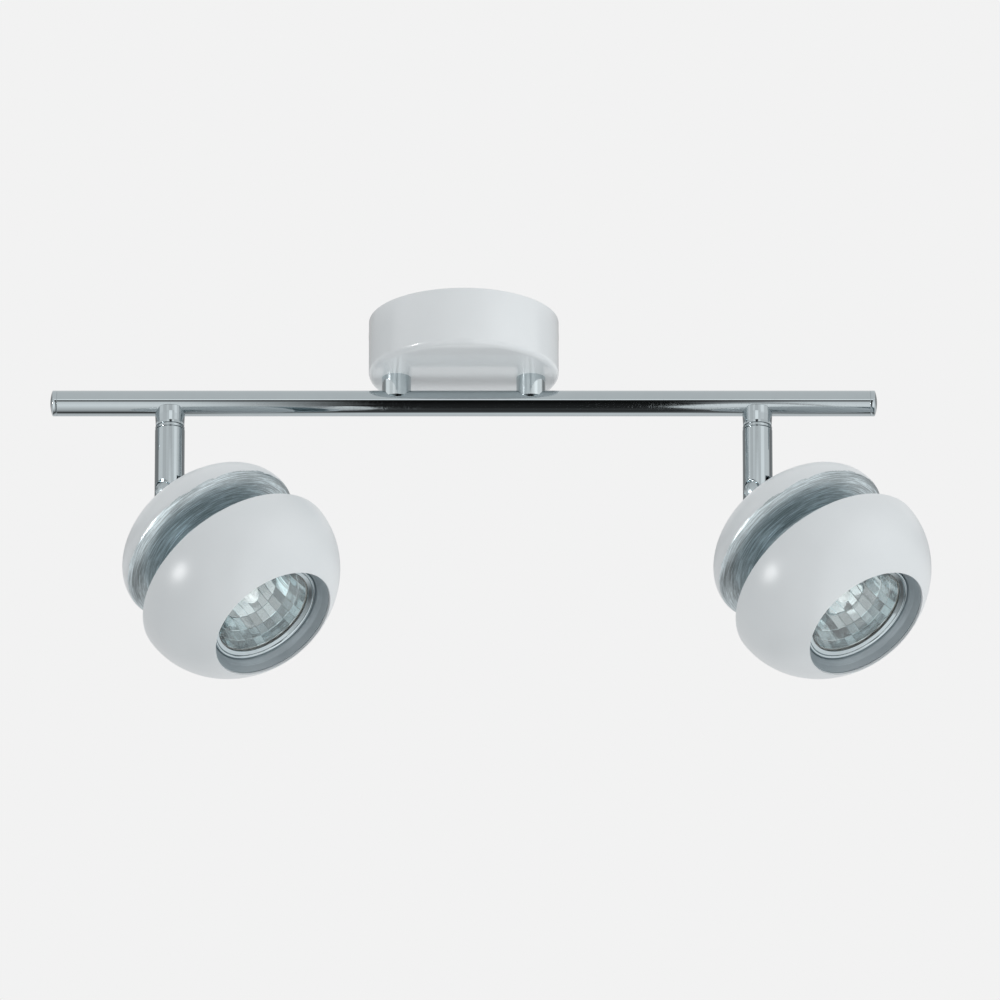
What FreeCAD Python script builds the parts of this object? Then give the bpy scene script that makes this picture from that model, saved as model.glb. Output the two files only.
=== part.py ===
import FreeCAD, Part
import math
import os

# Two-lamp pivoting spotlight: canopy, bar, two swivelling stems and two tilting heads.
# Millimetres, +Z up. The origin is the centre of the face that lies against the ceiling
# or wall, and everything hangs below it. +X runs along the bar and -Y faces the viewer.

V = FreeCAD.Vector

# Canopy, the round cup that covers the fixing and the wiring
CANOPY_RADIUS = 44.0
CANOPY_HEIGHT = 27.7
CANOPY_WALL = 1.0
CANOPY_EDGE_RADIUS = 2.8

# Mounting strap inside the canopy
STRAP_THICKNESS = 1.5
STRAP_WIDTH = 18.0
STRAP_SLOT_SPACING = 50.0
STRAP_SLOT_RADIUS = 2.6
STRAP_SLOT_LENGTH = 14.0
STRAP_EAR_DEPTH = 12.0
EARTH_SCREW_X = 14.0
EARTH_SCREW_RADIUS = 2.0
EARTH_HEAD_RADIUS = 3.4
EARTH_HEAD_HEIGHT = 2.4
EARTH_HEAD_BEVEL = 0.8
EARTH_DRIVE_WIDTH = 0.8
EARTH_DRIVE_DEPTH = 1.2
GRUB_SCREW_RADIUS = 2.0
GRUB_SCREW_LENGTH = 5.0
GRUB_SCREW_DROP = 7.0
GRUB_SOCKET_RADIUS = 1.1
GRUB_SOCKET_DEPTH = 1.8
TERMINAL_LENGTH = 19.0
TERMINAL_WIDTH = 16.0
TERMINAL_HEIGHT = 13.0
TERMINAL_POLES = 2
TERMINAL_SCREW_RADIUS = 2.2
TERMINAL_WIRE_RADIUS = 2.0
TERMINAL_WELL_DEPTH = 4.0
TERMINAL_CORNER = 1.5

# Bar
BAR_DROP = 40.2
BAR_RADIUS = 6.0
BAR_WALL = 1.0
BAR_LENGTH = 382.8
END_CAP_LENGTH = 3.1
END_CAP_DOME = 1.1
END_CAP_SPIGOT = 8.0

# Stand-off posts between the canopy and the bar
POST_INSET = 12.9
POST_RADIUS = 6.75
POST_BORE_RADIUS = 5.0
POST_EAR_RISE = 2.3
POST_NIPPLE_BORE = 3.6
POST_NIPPLE_INSERT = 4.0
NUT_ACROSS_FLATS = 14.0
NUT_HEIGHT = 4.0
WASHER_THICKNESS = 1.0
WASHER_RADIUS = 8.0
NIPPLE_PROUD = 1.5

# Stems: the saddle is fixed under the bar, the stem turns below the double groove
STEM_SPACING = 271.8
STEM_RADIUS = 6.9
SADDLE_EAR_DROP = 3.1
SADDLE_TOP_RADIUS = 6.9
SADDLE_FOOT_RADIUS = 6.6
SADDLE_BOTTOM = 11.4
GROOVE_WIDTH = 0.5
GROOVE_RADIUS = 6.1
RING_RADIUS = 6.8
RING_THICKNESS = 1.1
PIVOT_RADIUS = 4.0
PIVOT_BORE_RADIUS = 2.6
PIVOT_LENGTH = 22.0
STEM_SOCKET_RADIUS = 5.9
STEM_BUSH_LENGTH = 9.0
PIVOT_NUT_RADIUS = 5.5
PIVOT_NUT_HEIGHT = 3.0
PIVOT_NUT_SLOT_WIDTH = 1.5
PIVOT_NUT_SLOT_DEPTH = 1.0
STEM_CABLE_RADIUS = 2.6

# Hinge between the stem and the head
HINGE_DROP = 44.2
TONGUE_THICKNESS = 5.0
TONGUE_RADIUS = 6.0
TONGUE_COLLAR_RADIUS = 8.5
TONGUE_COLLAR_THICKNESS = 3.4
HINGE_WASHER_THICKNESS = 0.6
HINGE_WASHER_RADIUS = 5.2
HINGE_SCREW_RADIUS = 2.0
HINGE_HEAD_RADIUS = 3.5
HINGE_HEAD_HEIGHT = 2.2
HINGE_HEAD_EDGE = 1.1
HINGE_NUT_ACROSS_FLATS = 7.0
HINGE_NUT_HEIGHT = 3.2
HINGE_SEAT_DEPTH = 1.7
HINGE_SEAT_RADIUS = 4.3
SPIGOT_RADIUS = 5.0
SPIGOT_BORE_RADIUS = 3.0

# Rest pose of both heads: heading from +X, and tilt up from straight down
HEAD_HEADING = -31.7
HEAD_TILT = 37.0

# Head casing, measured along the head's axis from the hinge
DOME_EQUATOR = 36.9
DOME_RADIUS = 44.0
DOME_DEPTH = 24.8
DOME_SEAT_RADIUS = 12.0
DOME_WALL = 1.0
PAINT_EDGE_OFFSET = 0.4
FLANK_DEPTH = 12.0
WAIST_RADIUS = 28.0
WAIST_FILLET = 3.0
WAIST_WALL = 1.0
WAIST_LAP = 3.0
SHELL_REAR_EDGE = 60.9
SHELL_EQUATOR = 61.9
SHELL_RADIUS = 49.3
SHELL_DEPTH = 42.5
SHELL_WALL = 1.2
OPENING_RADIUS = 30.3
SLEEVE_LIP_RECESS = 0.3
SLEEVE_WALL = 0.8

# Lamp: a 50 mm mains reflector lamp with a twist-lock base
LAMP_FACE = 86.0
LAMP_RIM_RADIUS = 25.2
LAMP_RIM_THICKNESS = 3.3
LAMP_GLASS_RADIUS = 23.9
LAMP_GLASS_THICKNESS = 1.3
LAMP_GLASS_RECESS = 0.3
LAMP_GLASS_LEDGE = 0.6
REFLECTOR_NECK_RADIUS = 8.0
REFLECTOR_DEPTH = 23.0
REFLECTOR_WALL = 1.7
REFLECTOR_FACETS = 24
REFLECTOR_ROWS = 6
LAMP_BASE_RADIUS = 10.5
LAMP_BASE_FOOT_RADIUS = 9.0
LAMP_BASE_LENGTH = 22.0
LAMP_PIN_SPACING = 10.0
LAMP_PIN_RADIUS = 1.6
LAMP_PIN_HEAD_RADIUS = 2.5
LAMP_PIN_HEAD_LENGTH = 2.6
LAMP_PIN_LENGTH = 7.0
CAPSULE_RADIUS = 4.6
CAPSULE_LENGTH = 15.0
RING_INNER_RADIUS = 23.7
RING_OUTER_RADIUS = 27.2
RETAINER_THICKNESS = 2.0
RETAINER_LIP = 0.55
HOLDER_RADIUS = 13.0
HOLDER_SLOT_DEPTH = 9.0
HOLDER_BEVEL = 1.0
BRACKET_THICKNESS = 1.2
BRACKET_ARM_WIDTH = 9.0
HEAD_NUT_HEIGHT = 3.5

# The casing's ovals are drawn as pairs of tangent arcs, one pair to about this many degrees
OVAL_SPAN = 28.0

# Clearances, and how far a cutter runs past the faces it cuts
RUNNING = 0.05
FACE_GAP = 0.1
FIT_GAP = 0.1
EDGE_GAP = 0.3
OVERRUN = 1.0

# Places that follow from the sizes above
BAR_INNER = BAR_RADIUS - BAR_WALL
CANOPY_INNER = CANOPY_RADIUS - CANOPY_WALL
CANOPY_FLOOR = -CANOPY_HEIGHT + CANOPY_WALL
STRAP_EAR_X = CANOPY_INNER - FIT_GAP
STEM_TOP = -SADDLE_BOTTOM - FACE_GAP - 2 * GROOVE_WIDTH - RING_THICKNESS
TONGUE_HALF = TONGUE_THICKNESS / 2
SLOT_HALF = TONGUE_HALF + FACE_GAP + HINGE_WASHER_THICKNESS
SEAT_HALF = STEM_RADIUS - HINGE_SEAT_DEPTH
DOME_SEAT = DOME_EQUATOR - DOME_DEPTH * math.sqrt(1 - (DOME_SEAT_RADIUS / DOME_RADIUS) ** 2)
PAINT_EDGE = DOME_EQUATOR + PAINT_EDGE_OFFSET
BRACKET_BACK = DOME_SEAT + DOME_WALL
LAMP_RIM_BACK = LAMP_FACE - LAMP_RIM_THICKNESS
REFLECTOR_TOP = LAMP_FACE - LAMP_GLASS_RECESS - LAMP_GLASS_THICKNESS
REFLECTOR_MOUTH = LAMP_GLASS_RADIUS - LAMP_GLASS_LEDGE
REFLECTOR_OUTER = REFLECTOR_MOUTH + REFLECTOR_WALL / 2
REFLECTOR_NECK = REFLECTOR_TOP - REFLECTOR_DEPTH
LAMP_BASE_FRONT = REFLECTOR_NECK - REFLECTOR_WALL
LAMP_BASE_BACK = LAMP_BASE_FRONT - LAMP_BASE_LENGTH
HOLDER_BACK = BRACKET_BACK + BRACKET_THICKNESS + HEAD_NUT_HEIGHT + EDGE_GAP
SLEEVE_INNER = RING_OUTER_RADIUS + FIT_GAP
SHELL_INNER_RADIUS = SHELL_RADIUS - SHELL_WALL
SHELL_INNER_DEPTH = SHELL_DEPTH - SHELL_WALL
POST_X = CANOPY_RADIUS - POST_INSET
POST_PLACES = (-POST_X, POST_X)
COS_45 = math.sqrt(0.5)
SIDES = {"left": -1, "right": 1}


def line(start, end):
    """Straight edge between two (radius, height) points in the XZ plane."""
    return Part.LineSegment(V(start[0], 0, start[1]), V(end[0], 0, end[1])).toShape()


def chain(points):
    """Straight edges through (radius, height) points, in order."""
    return [line(a, b) for a, b in zip(points, points[1:])]


def arc(start, middle, end):
    """Circular edge through three (radius, height) points."""
    corners = [V(r, 0, z) for r, z in (start, middle, end)]
    return Part.Arc(*corners).toShape()


def quarter(centre, start, end):
    """Quarter circle about a (radius, height) centre."""
    middle = [c + (a + b - 2 * c) * COS_45 for c, a, b in zip(centre, start, end)]
    return arc(start, middle, end)


def crown(radius, low, rise):
    """Spherical edge from (radius, low) up to the axis, its rise given."""
    sphere = (radius ** 2 + rise ** 2) / (2 * rise)
    half = radius / 2
    height = low + rise - sphere + math.sqrt(sphere ** 2 - half ** 2)
    return arc((radius, low), (half, height), (0, low + rise))


def tangent_arc(start, corner, end):
    """Circular edge between two points whose tangents meet at a corner as far from both."""
    middle = (start + end) * 0.5
    half = start.distanceToPoint(middle)
    share = half / (half + start.distanceToPoint(corner))
    return Part.Arc(start, middle + (corner - middle) * share, end).toShape()


def arc_pair(start, start_way, end, end_way):
    """Two tangent arcs from one point to another, leaving and arriving along the unit ways."""
    span, ways = end - start, start_way + end_way
    bend = 2 * (1 - start_way.dot(end_way))
    reach = (math.sqrt(span.dot(ways) ** 2 + bend * span.dot(span)) - span.dot(ways)) / bend
    corners = start + start_way * reach, end - end_way * reach
    joint = (corners[0] + corners[1]) * 0.5
    return [tangent_arc(start, corners[0], joint), tangent_arc(joint, corners[1], end)]


def oval(centre, radial, axial, angle_a, angle_b):
    """Edges along an ellipse about the axis point at height centre, between two angles."""
    count = max(1, round(math.degrees(abs(angle_b - angle_a)) / OVAL_SPAN))
    angles = [angle_a + (angle_b - angle_a) * k / count for k in range(count + 1)]
    points = [V(r, 0, z) for r, z in (oval_point(centre, radial, axial, t) for t in angles)]
    sense = math.copysign(1, angle_b - angle_a)
    ways = [V(-radial * math.sin(t), 0, axial * math.cos(t)).normalize() * sense for t in angles]
    pairs = [arc_pair(*step) for step in zip(points, ways, points[1:], ways[1:])]
    return [edge for pair in pairs for edge in pair]


def oval_point(centre, radial, axial, angle):
    """The (radius, height) point of that ellipse at an angle."""
    return radial * math.cos(angle), centre + axial * math.sin(angle)


def turned(edges):
    """Solid of revolution about Z from the closed outline that the edges make."""
    wire = Part.Wire(Part.__sortEdges__(edges))
    return Part.makeSolid(Part.Face(wire).revolve(V(0, 0, 0), V(0, 0, 1), 360))


def turned_polygon(points):
    """Solid of revolution from a closed polygon of (radius, height) points."""
    return turned(chain(points + points[:1]))


def tube(outer, inner, low, high):
    """Plain tube between two heights."""
    return turned_polygon([(inner, low), (outer, low), (outer, high), (inner, high)])


def rod(radius, start, end):
    """Cylinder from one point to another."""
    axis = end - start
    return Part.makeCylinder(radius, axis.Length, start, axis)


def hexagon(across_flats, height, base):
    """Hexagonal prism on the Z axis from height base."""
    corner = across_flats / math.sqrt(3)
    turns = [math.radians(60 * k) for k in range(7)]
    points = [V(corner * math.cos(t), corner * math.sin(t), base) for t in turns]
    return Part.Face(Part.makePolygon(points)).extrude(V(0, 0, height))


def stadium(length, radius, height, base):
    """Slot-shaped prism along X, its total length given."""
    half = length / 2 - radius
    block = Part.makeBox(2 * half, 2 * radius, height, V(-half, -radius, base))
    ends = [Part.makeCylinder(radius, height, V(x, 0, base)) for x in (-half, half)]
    return block.multiFuse(ends).removeSplitter()


def canopy():
    """Steel cup, open at the top, with rounded lower edge and holes for posts and grub screws."""
    low, floor = -CANOPY_HEIGHT, CANOPY_FLOOR
    bend, inner_bend = CANOPY_EDGE_RADIUS, CANOPY_EDGE_RADIUS - CANOPY_WALL
    under, side = (CANOPY_RADIUS - bend, low), (CANOPY_RADIUS, low + bend)
    inner_under, inner_side = (CANOPY_INNER - inner_bend, floor), (CANOPY_INNER, floor + inner_bend)
    outline = chain([inner_under, (0, floor), (0, low), under])
    outline.append(quarter((under[0], side[1]), under, side))
    outline += chain([side, (CANOPY_RADIUS, 0), (CANOPY_INNER, 0), inner_side])
    outline.append(quarter((inner_under[0], inner_side[1]), inner_side, inner_under))
    holes = [rod(POST_BORE_RADIUS + FIT_GAP, V(x, 0, low - OVERRUN), V(x, 0, floor + OVERRUN))
             for x in POST_PLACES]
    reach = CANOPY_RADIUS + OVERRUN
    holes.append(rod(GRUB_SCREW_RADIUS, V(-reach, 0, -GRUB_SCREW_DROP), V(reach, 0, -GRUB_SCREW_DROP)))
    return turned(outline).cut(Part.makeCompound(holes))


def mounting_strap():
    """Bent strap with two slots for the ceiling screws, tapped ears and an earth hole."""
    half = STRAP_WIDTH / 2
    outer = Part.makeBox(2 * STRAP_EAR_X, STRAP_WIDTH, STRAP_EAR_DEPTH,
                         V(-STRAP_EAR_X, -half, -STRAP_EAR_DEPTH))
    inside = STRAP_EAR_X - STRAP_THICKNESS
    inner = Part.makeBox(2 * inside, STRAP_WIDTH, STRAP_EAR_DEPTH,
                         V(-inside, -half, -STRAP_THICKNESS - STRAP_EAR_DEPTH))
    strap = outer.cut(inner).common(rod(STRAP_EAR_X, V(0, 0, -STRAP_EAR_DEPTH), V(0, 0, 0)))
    low, high = -STRAP_THICKNESS - OVERRUN, OVERRUN
    cuts = [rod(EARTH_SCREW_RADIUS, V(EARTH_SCREW_X, 0, low), V(EARTH_SCREW_X, 0, high)),
            rod(GRUB_SCREW_RADIUS, V(-CANOPY_RADIUS, 0, -GRUB_SCREW_DROP),
                V(CANOPY_RADIUS, 0, -GRUB_SCREW_DROP))]
    for sign in SIDES.values():
        slot = stadium(STRAP_SLOT_LENGTH, STRAP_SLOT_RADIUS, high - low, low)
        slot.translate(V(sign * STRAP_SLOT_SPACING / 2, 0, 0))
        cuts.append(slot)
    return strap.cut(Part.makeCompound(cuts))


def earth_screw():
    """Pan-head earth screw, up through the strap from below."""
    under = -STRAP_THICKNESS
    low = under - EARTH_HEAD_HEIGHT
    screw = turned_polygon([(0, low), (EARTH_HEAD_RADIUS - EARTH_HEAD_BEVEL, low),
                            (EARTH_HEAD_RADIUS, low + EARTH_HEAD_BEVEL), (EARTH_HEAD_RADIUS, under),
                            (EARTH_SCREW_RADIUS, under), (EARTH_SCREW_RADIUS, 0), (0, 0)])
    drive = Part.makeBox(2 * EARTH_HEAD_RADIUS, EARTH_DRIVE_WIDTH, EARTH_DRIVE_DEPTH,
                         V(-EARTH_HEAD_RADIUS, -EARTH_DRIVE_WIDTH / 2, low))
    screw = screw.cut(drive)
    screw.translate(V(EARTH_SCREW_X, 0, 0))
    return screw


def canopy_grub_screws():
    """Two socket grub screws that hold the canopy to the strap's ears."""
    screws = []
    for sign in SIDES.values():
        outer = V(sign * CANOPY_RADIUS, 0, -GRUB_SCREW_DROP)
        along = V(-sign, 0, 0)
        body = rod(GRUB_SCREW_RADIUS, outer, outer + along * GRUB_SCREW_LENGTH)
        socket = rod(GRUB_SOCKET_RADIUS, outer, outer + along * GRUB_SOCKET_DEPTH)
        screws.append(body.cut(socket))
    return Part.makeCompound(screws)


def terminal_block():
    """Moulded screw terminal block under the strap, with a wire hole and a screw well per pole."""
    top = -STRAP_THICKNESS
    low = top - TERMINAL_HEIGHT
    block = Part.makeBox(TERMINAL_LENGTH, TERMINAL_WIDTH, TERMINAL_HEIGHT,
                         V(-TERMINAL_LENGTH / 2, -TERMINAL_WIDTH / 2, low))
    upright = [e for e in block.Edges if e.BoundBox.ZLength > TERMINAL_HEIGHT / 2]
    block = block.makeFillet(TERMINAL_CORNER, upright)
    wire_height = top - TERMINAL_HEIGHT / 3
    cuts = []
    for pole in range(TERMINAL_POLES):
        x = (pole - (TERMINAL_POLES - 1) / 2) * TERMINAL_LENGTH / TERMINAL_POLES
        cuts.append(rod(TERMINAL_WIRE_RADIUS, V(x, -TERMINAL_WIDTH, wire_height),
                        V(x, TERMINAL_WIDTH, wire_height)))
        for y in (-TERMINAL_WIDTH / 4, TERMINAL_WIDTH / 4):
            cuts.append(rod(TERMINAL_SCREW_RADIUS, V(x, y, low - OVERRUN),
                            V(x, y, low + TERMINAL_WELL_DEPTH)))
    return block.cut(Part.makeCompound(cuts))


def post(x):
    """Stand-off post: tube under the canopy, its foot cut to sit over the bar."""
    foot = -BAR_DROP + POST_EAR_RISE
    tube_solid = tube(POST_RADIUS, POST_BORE_RADIUS, foot, -CANOPY_HEIGHT)
    tube_solid.translate(V(x, 0, 0))
    bar = rod(BAR_RADIUS, V(x - 2 * POST_RADIUS, 0, -BAR_DROP), V(x + 2 * POST_RADIUS, 0, -BAR_DROP))
    return tube_solid.cut(bar)


def post_nipple(x):
    """Hollow threaded nipple that joins a post to the canopy floor."""
    low = -CANOPY_HEIGHT - POST_NIPPLE_INSERT
    high = CANOPY_FLOOR + WASHER_THICKNESS + NUT_HEIGHT + NIPPLE_PROUD
    nipple = tube(POST_BORE_RADIUS, POST_NIPPLE_BORE, low, high)
    nipple.translate(V(x, 0, 0))
    return nipple


def post_washers():
    """Plain washers under the two nuts in the canopy."""
    washers = []
    for x in POST_PLACES:
        washer = tube(WASHER_RADIUS, POST_BORE_RADIUS, CANOPY_FLOOR, CANOPY_FLOOR + WASHER_THICKNESS)
        washer.translate(V(x, 0, 0))
        washers.append(washer)
    return Part.makeCompound(washers)


def post_nuts():
    """Hexagon nuts that clamp the two nipples in the canopy."""
    base = CANOPY_FLOOR + WASHER_THICKNESS
    nuts = []
    for x in POST_PLACES:
        nut = hexagon(NUT_ACROSS_FLATS, NUT_HEIGHT, base)
        nut = nut.cut(rod(POST_BORE_RADIUS, V(0, 0, base - OVERRUN), V(0, 0, base + NUT_HEIGHT + OVERRUN)))
        nut.translate(V(x, 0, 0))
        nuts.append(nut)
    return Part.makeCompound(nuts)


def bar_tube():
    """Straight round tube with wire holes under each post and over each stem."""
    half = BAR_LENGTH / 2 - END_CAP_LENGTH
    outer = rod(BAR_RADIUS, V(-half, 0, -BAR_DROP), V(half, 0, -BAR_DROP))
    inner = rod(BAR_INNER, V(-half - OVERRUN, 0, -BAR_DROP), V(half + OVERRUN, 0, -BAR_DROP))
    cuts = [inner]
    for x in POST_PLACES:
        cuts.append(rod(POST_NIPPLE_BORE, V(x, 0, -BAR_DROP), V(x, 0, -BAR_DROP + 2 * BAR_RADIUS)))
    for x in (-STEM_SPACING / 2, STEM_SPACING / 2):
        cuts.append(rod(PIVOT_RADIUS, V(x, 0, -BAR_DROP - 2 * BAR_RADIUS), V(x, 0, -BAR_DROP)))
    return outer.cut(Part.makeCompound(cuts))


def end_cap(sign):
    """Domed plug in one end of the bar."""
    rim = END_CAP_LENGTH - END_CAP_DOME
    outline = chain([(0, END_CAP_LENGTH), (0, -END_CAP_SPIGOT), (BAR_INNER, -END_CAP_SPIGOT),
                     (BAR_INNER, 0), (BAR_RADIUS, 0), (BAR_RADIUS, rim)])
    cap = turned(outline + [crown(BAR_RADIUS, rim, END_CAP_DOME)])
    cap.rotate(V(0, 0, 0), V(0, 1, 0), 90 * sign)
    cap.translate(V(sign * (BAR_LENGTH / 2 - END_CAP_LENGTH), 0, -BAR_DROP))
    return cap


def saddle():
    """Fixed collar under the bar, its top cut to hug the bar."""
    collar = turned_polygon([(PIVOT_RADIUS, -SADDLE_BOTTOM), (SADDLE_FOOT_RADIUS, -SADDLE_BOTTOM),
                             (SADDLE_TOP_RADIUS, -BAR_RADIUS), (SADDLE_TOP_RADIUS, -SADDLE_EAR_DROP),
                             (PIVOT_RADIUS, -SADDLE_EAR_DROP)])
    return collar.cut(rod(BAR_RADIUS, V(-2 * STEM_RADIUS, 0, 0), V(2 * STEM_RADIUS, 0, 0)))


def pivot_nipple():
    """Hollow pin that is fixed in the saddle and carries the stem."""
    top = -BAR_INNER
    return tube(PIVOT_RADIUS, PIVOT_BORE_RADIUS, top - PIVOT_LENGTH, top)


def pivot_nut():
    """Round slotted nut on the pin's lower end, inside the stem."""
    top = STEM_TOP - STEM_BUSH_LENGTH - FACE_GAP
    nut = tube(PIVOT_NUT_RADIUS, PIVOT_RADIUS, top - PIVOT_NUT_HEIGHT, top)
    slot = Part.makeBox(2 * PIVOT_NUT_RADIUS, PIVOT_NUT_SLOT_WIDTH, PIVOT_NUT_SLOT_DEPTH,
                        V(-PIVOT_NUT_RADIUS, -PIVOT_NUT_SLOT_WIDTH / 2, top - PIVOT_NUT_HEIGHT))
    return nut.cut(slot)


def groove_ring():
    """Thin ring between saddle and stem, with a narrow groove above and below it."""
    bore, low = PIVOT_RADIUS + RUNNING, STEM_TOP
    ring_low = low + GROOVE_WIDTH
    ring_high = ring_low + RING_THICKNESS
    high = ring_high + GROOVE_WIDTH
    return turned_polygon([(bore, low), (GROOVE_RADIUS, low), (GROOVE_RADIUS, ring_low),
                           (RING_RADIUS, ring_low), (RING_RADIUS, ring_high),
                           (GROOVE_RADIUS, ring_high), (GROOVE_RADIUS, high), (bore, high)])


def stem_bush():
    """Plain bush pressed in the stem's top, which turns on the pin."""
    return tube(STEM_SOCKET_RADIUS, PIVOT_RADIUS + RUNNING, STEM_TOP - STEM_BUSH_LENGTH, STEM_TOP)


def stem():
    """Turned stem: socket above, cable bore, and a slotted round end for the head's tongue."""
    hinge = -HINGE_DROP
    side = 2 * STEM_RADIUS
    body = rod(STEM_RADIUS, V(0, 0, hinge - STEM_RADIUS), V(0, 0, STEM_TOP))
    round_end = rod(STEM_RADIUS, V(0, -side, hinge), V(0, side, hinge))
    above = Part.makeBox(2 * side, 2 * side, HINGE_DROP, V(-side, -side, hinge))
    body = body.common(round_end.fuse(above))
    nut_end = STEM_TOP - STEM_BUSH_LENGTH - FACE_GAP - PIVOT_NUT_HEIGHT
    pin_end = -BAR_INNER - PIVOT_LENGTH
    socket_floor = min(nut_end, pin_end) - EDGE_GAP
    slot_root = hinge + TONGUE_RADIUS + EDGE_GAP
    slot = Part.makeBox(2 * side, 2 * SLOT_HALF, side, V(-side, -SLOT_HALF, slot_root - side))
    screw_way = HINGE_SCREW_RADIUS + FIT_GAP
    cuts = [rod(STEM_SOCKET_RADIUS, V(0, 0, socket_floor), V(0, 0, STEM_TOP + OVERRUN)),
            rod(STEM_CABLE_RADIUS, V(0, 0, hinge), V(0, 0, STEM_TOP)),
            rod(screw_way, V(0, -side, hinge), V(0, side, hinge)),
            slot]
    for sign in SIDES.values():
        cuts.append(rod(HINGE_SEAT_RADIUS, V(0, sign * SEAT_HALF, hinge), V(0, sign * side, hinge)))
    return body.cut(Part.makeCompound(cuts))


def hinge_washers():
    """Friction washers between the stem's cheeks and the head's tongue."""
    washers = []
    for sign in SIDES.values():
        start = V(0, sign * (TONGUE_HALF + FACE_GAP), -HINGE_DROP)
        end = V(0, sign * SLOT_HALF, -HINGE_DROP)
        washers.append(rod(HINGE_WASHER_RADIUS, start, end).cut(rod(HINGE_SCREW_RADIUS, start, end)))
    return Part.makeCompound(washers)


def hinge_screw():
    """Pan-head screw through both cheeks and the tongue."""
    shank = rod(HINGE_SCREW_RADIUS, V(0, -SEAT_HALF, 0), V(0, SEAT_HALF + HINGE_NUT_HEIGHT, 0))
    outline = chain([(0, HINGE_HEAD_HEIGHT), (0, 0), (HINGE_HEAD_RADIUS, 0),
                     (HINGE_HEAD_RADIUS, HINGE_HEAD_EDGE)])
    dome = crown(HINGE_HEAD_RADIUS, HINGE_HEAD_EDGE, HINGE_HEAD_HEIGHT - HINGE_HEAD_EDGE)
    head = turned(outline + [dome])
    head.rotate(V(0, 0, 0), V(1, 0, 0), 90)
    head.translate(V(0, -SEAT_HALF, 0))
    screw = shank.fuse(head).removeSplitter()
    screw.translate(V(0, 0, -HINGE_DROP))
    return screw


def hinge_nut():
    """Lock nut on the hinge screw."""
    nut = hexagon(HINGE_NUT_ACROSS_FLATS, HINGE_NUT_HEIGHT, 0)
    nut = nut.cut(rod(HINGE_SCREW_RADIUS, V(0, 0, -OVERRUN), V(0, 0, HINGE_NUT_HEIGHT + OVERRUN)))
    nut.rotate(V(0, 0, 0), V(1, 0, 0), -90)
    nut.translate(V(0, SEAT_HALF, -HINGE_DROP))
    return nut


def tongue():
    """Hinge tongue with its collar and the hollow threaded spigot into the rear dome."""
    collar_back = DOME_SEAT - TONGUE_COLLAR_THICKNESS
    spigot_end = BRACKET_BACK + BRACKET_THICKNESS + HEAD_NUT_HEIGHT
    bevel = TONGUE_COLLAR_THICKNESS / 2
    blade = Part.makeBox(2 * TONGUE_RADIUS, TONGUE_THICKNESS, collar_back, V(-TONGUE_RADIUS, -TONGUE_HALF, 0))
    eye = rod(TONGUE_RADIUS, V(0, -TONGUE_HALF, 0), V(0, TONGUE_HALF, 0))
    foot = turned_polygon([(0, collar_back), (TONGUE_COLLAR_RADIUS - bevel, collar_back),
                           (TONGUE_COLLAR_RADIUS, collar_back + bevel), (TONGUE_COLLAR_RADIUS, DOME_SEAT),
                           (SPIGOT_RADIUS, DOME_SEAT), (SPIGOT_RADIUS, spigot_end), (0, spigot_end)])
    body = blade.multiFuse([eye, foot]).removeSplitter()
    bore = rod(HINGE_SCREW_RADIUS + RUNNING, V(0, -TONGUE_THICKNESS, 0), V(0, TONGUE_THICKNESS, 0))
    wire_way = rod(SPIGOT_BORE_RADIUS, V(0, 0, collar_back), V(0, 0, spigot_end + OVERRUN))
    return body.cut(Part.makeCompound([bore, wire_way]))


def head_nut():
    """Hexagon nut on the spigot, inside the rear dome."""
    base = BRACKET_BACK + BRACKET_THICKNESS
    nut = hexagon(NUT_ACROSS_FLATS, HEAD_NUT_HEIGHT, base)
    return nut.cut(rod(SPIGOT_RADIUS, V(0, 0, base - OVERRUN), V(0, 0, base + HEAD_NUT_HEIGHT + OVERRUN)))


def rear_dome():
    """Spun rear bowl with a flat seat at its pole for the tongue's collar."""
    inner_radius, inner_depth = DOME_RADIUS - DOME_WALL, DOME_DEPTH - DOME_WALL
    inner_flank = FLANK_DEPTH - DOME_WALL
    seat_angle = -math.acos(DOME_SEAT_RADIUS / DOME_RADIUS)
    inner_angle = -math.asin((DOME_EQUATOR - BRACKET_BACK) / inner_depth)
    edge_angle = math.asin(PAINT_EDGE_OFFSET / FLANK_DEPTH)
    inner_edge_angle = math.asin(PAINT_EDGE_OFFSET / inner_flank)
    outline = oval(DOME_EQUATOR, DOME_RADIUS, DOME_DEPTH, seat_angle, 0)
    outline += oval(DOME_EQUATOR, DOME_RADIUS, FLANK_DEPTH, 0, edge_angle)
    outline += oval(DOME_EQUATOR, inner_radius, inner_depth, inner_angle, 0)
    outline += oval(DOME_EQUATOR, inner_radius, inner_flank, 0, inner_edge_angle)
    outline.append(line(oval_point(DOME_EQUATOR, DOME_RADIUS, FLANK_DEPTH, edge_angle),
                        oval_point(DOME_EQUATOR, inner_radius, inner_flank, inner_edge_angle)))
    hole = SPIGOT_RADIUS + FIT_GAP
    outline += chain([oval_point(DOME_EQUATOR, inner_radius, inner_depth, inner_angle), (hole, BRACKET_BACK),
                      (hole, DOME_SEAT), (DOME_SEAT_RADIUS, DOME_SEAT)])
    return turned(outline)


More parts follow.
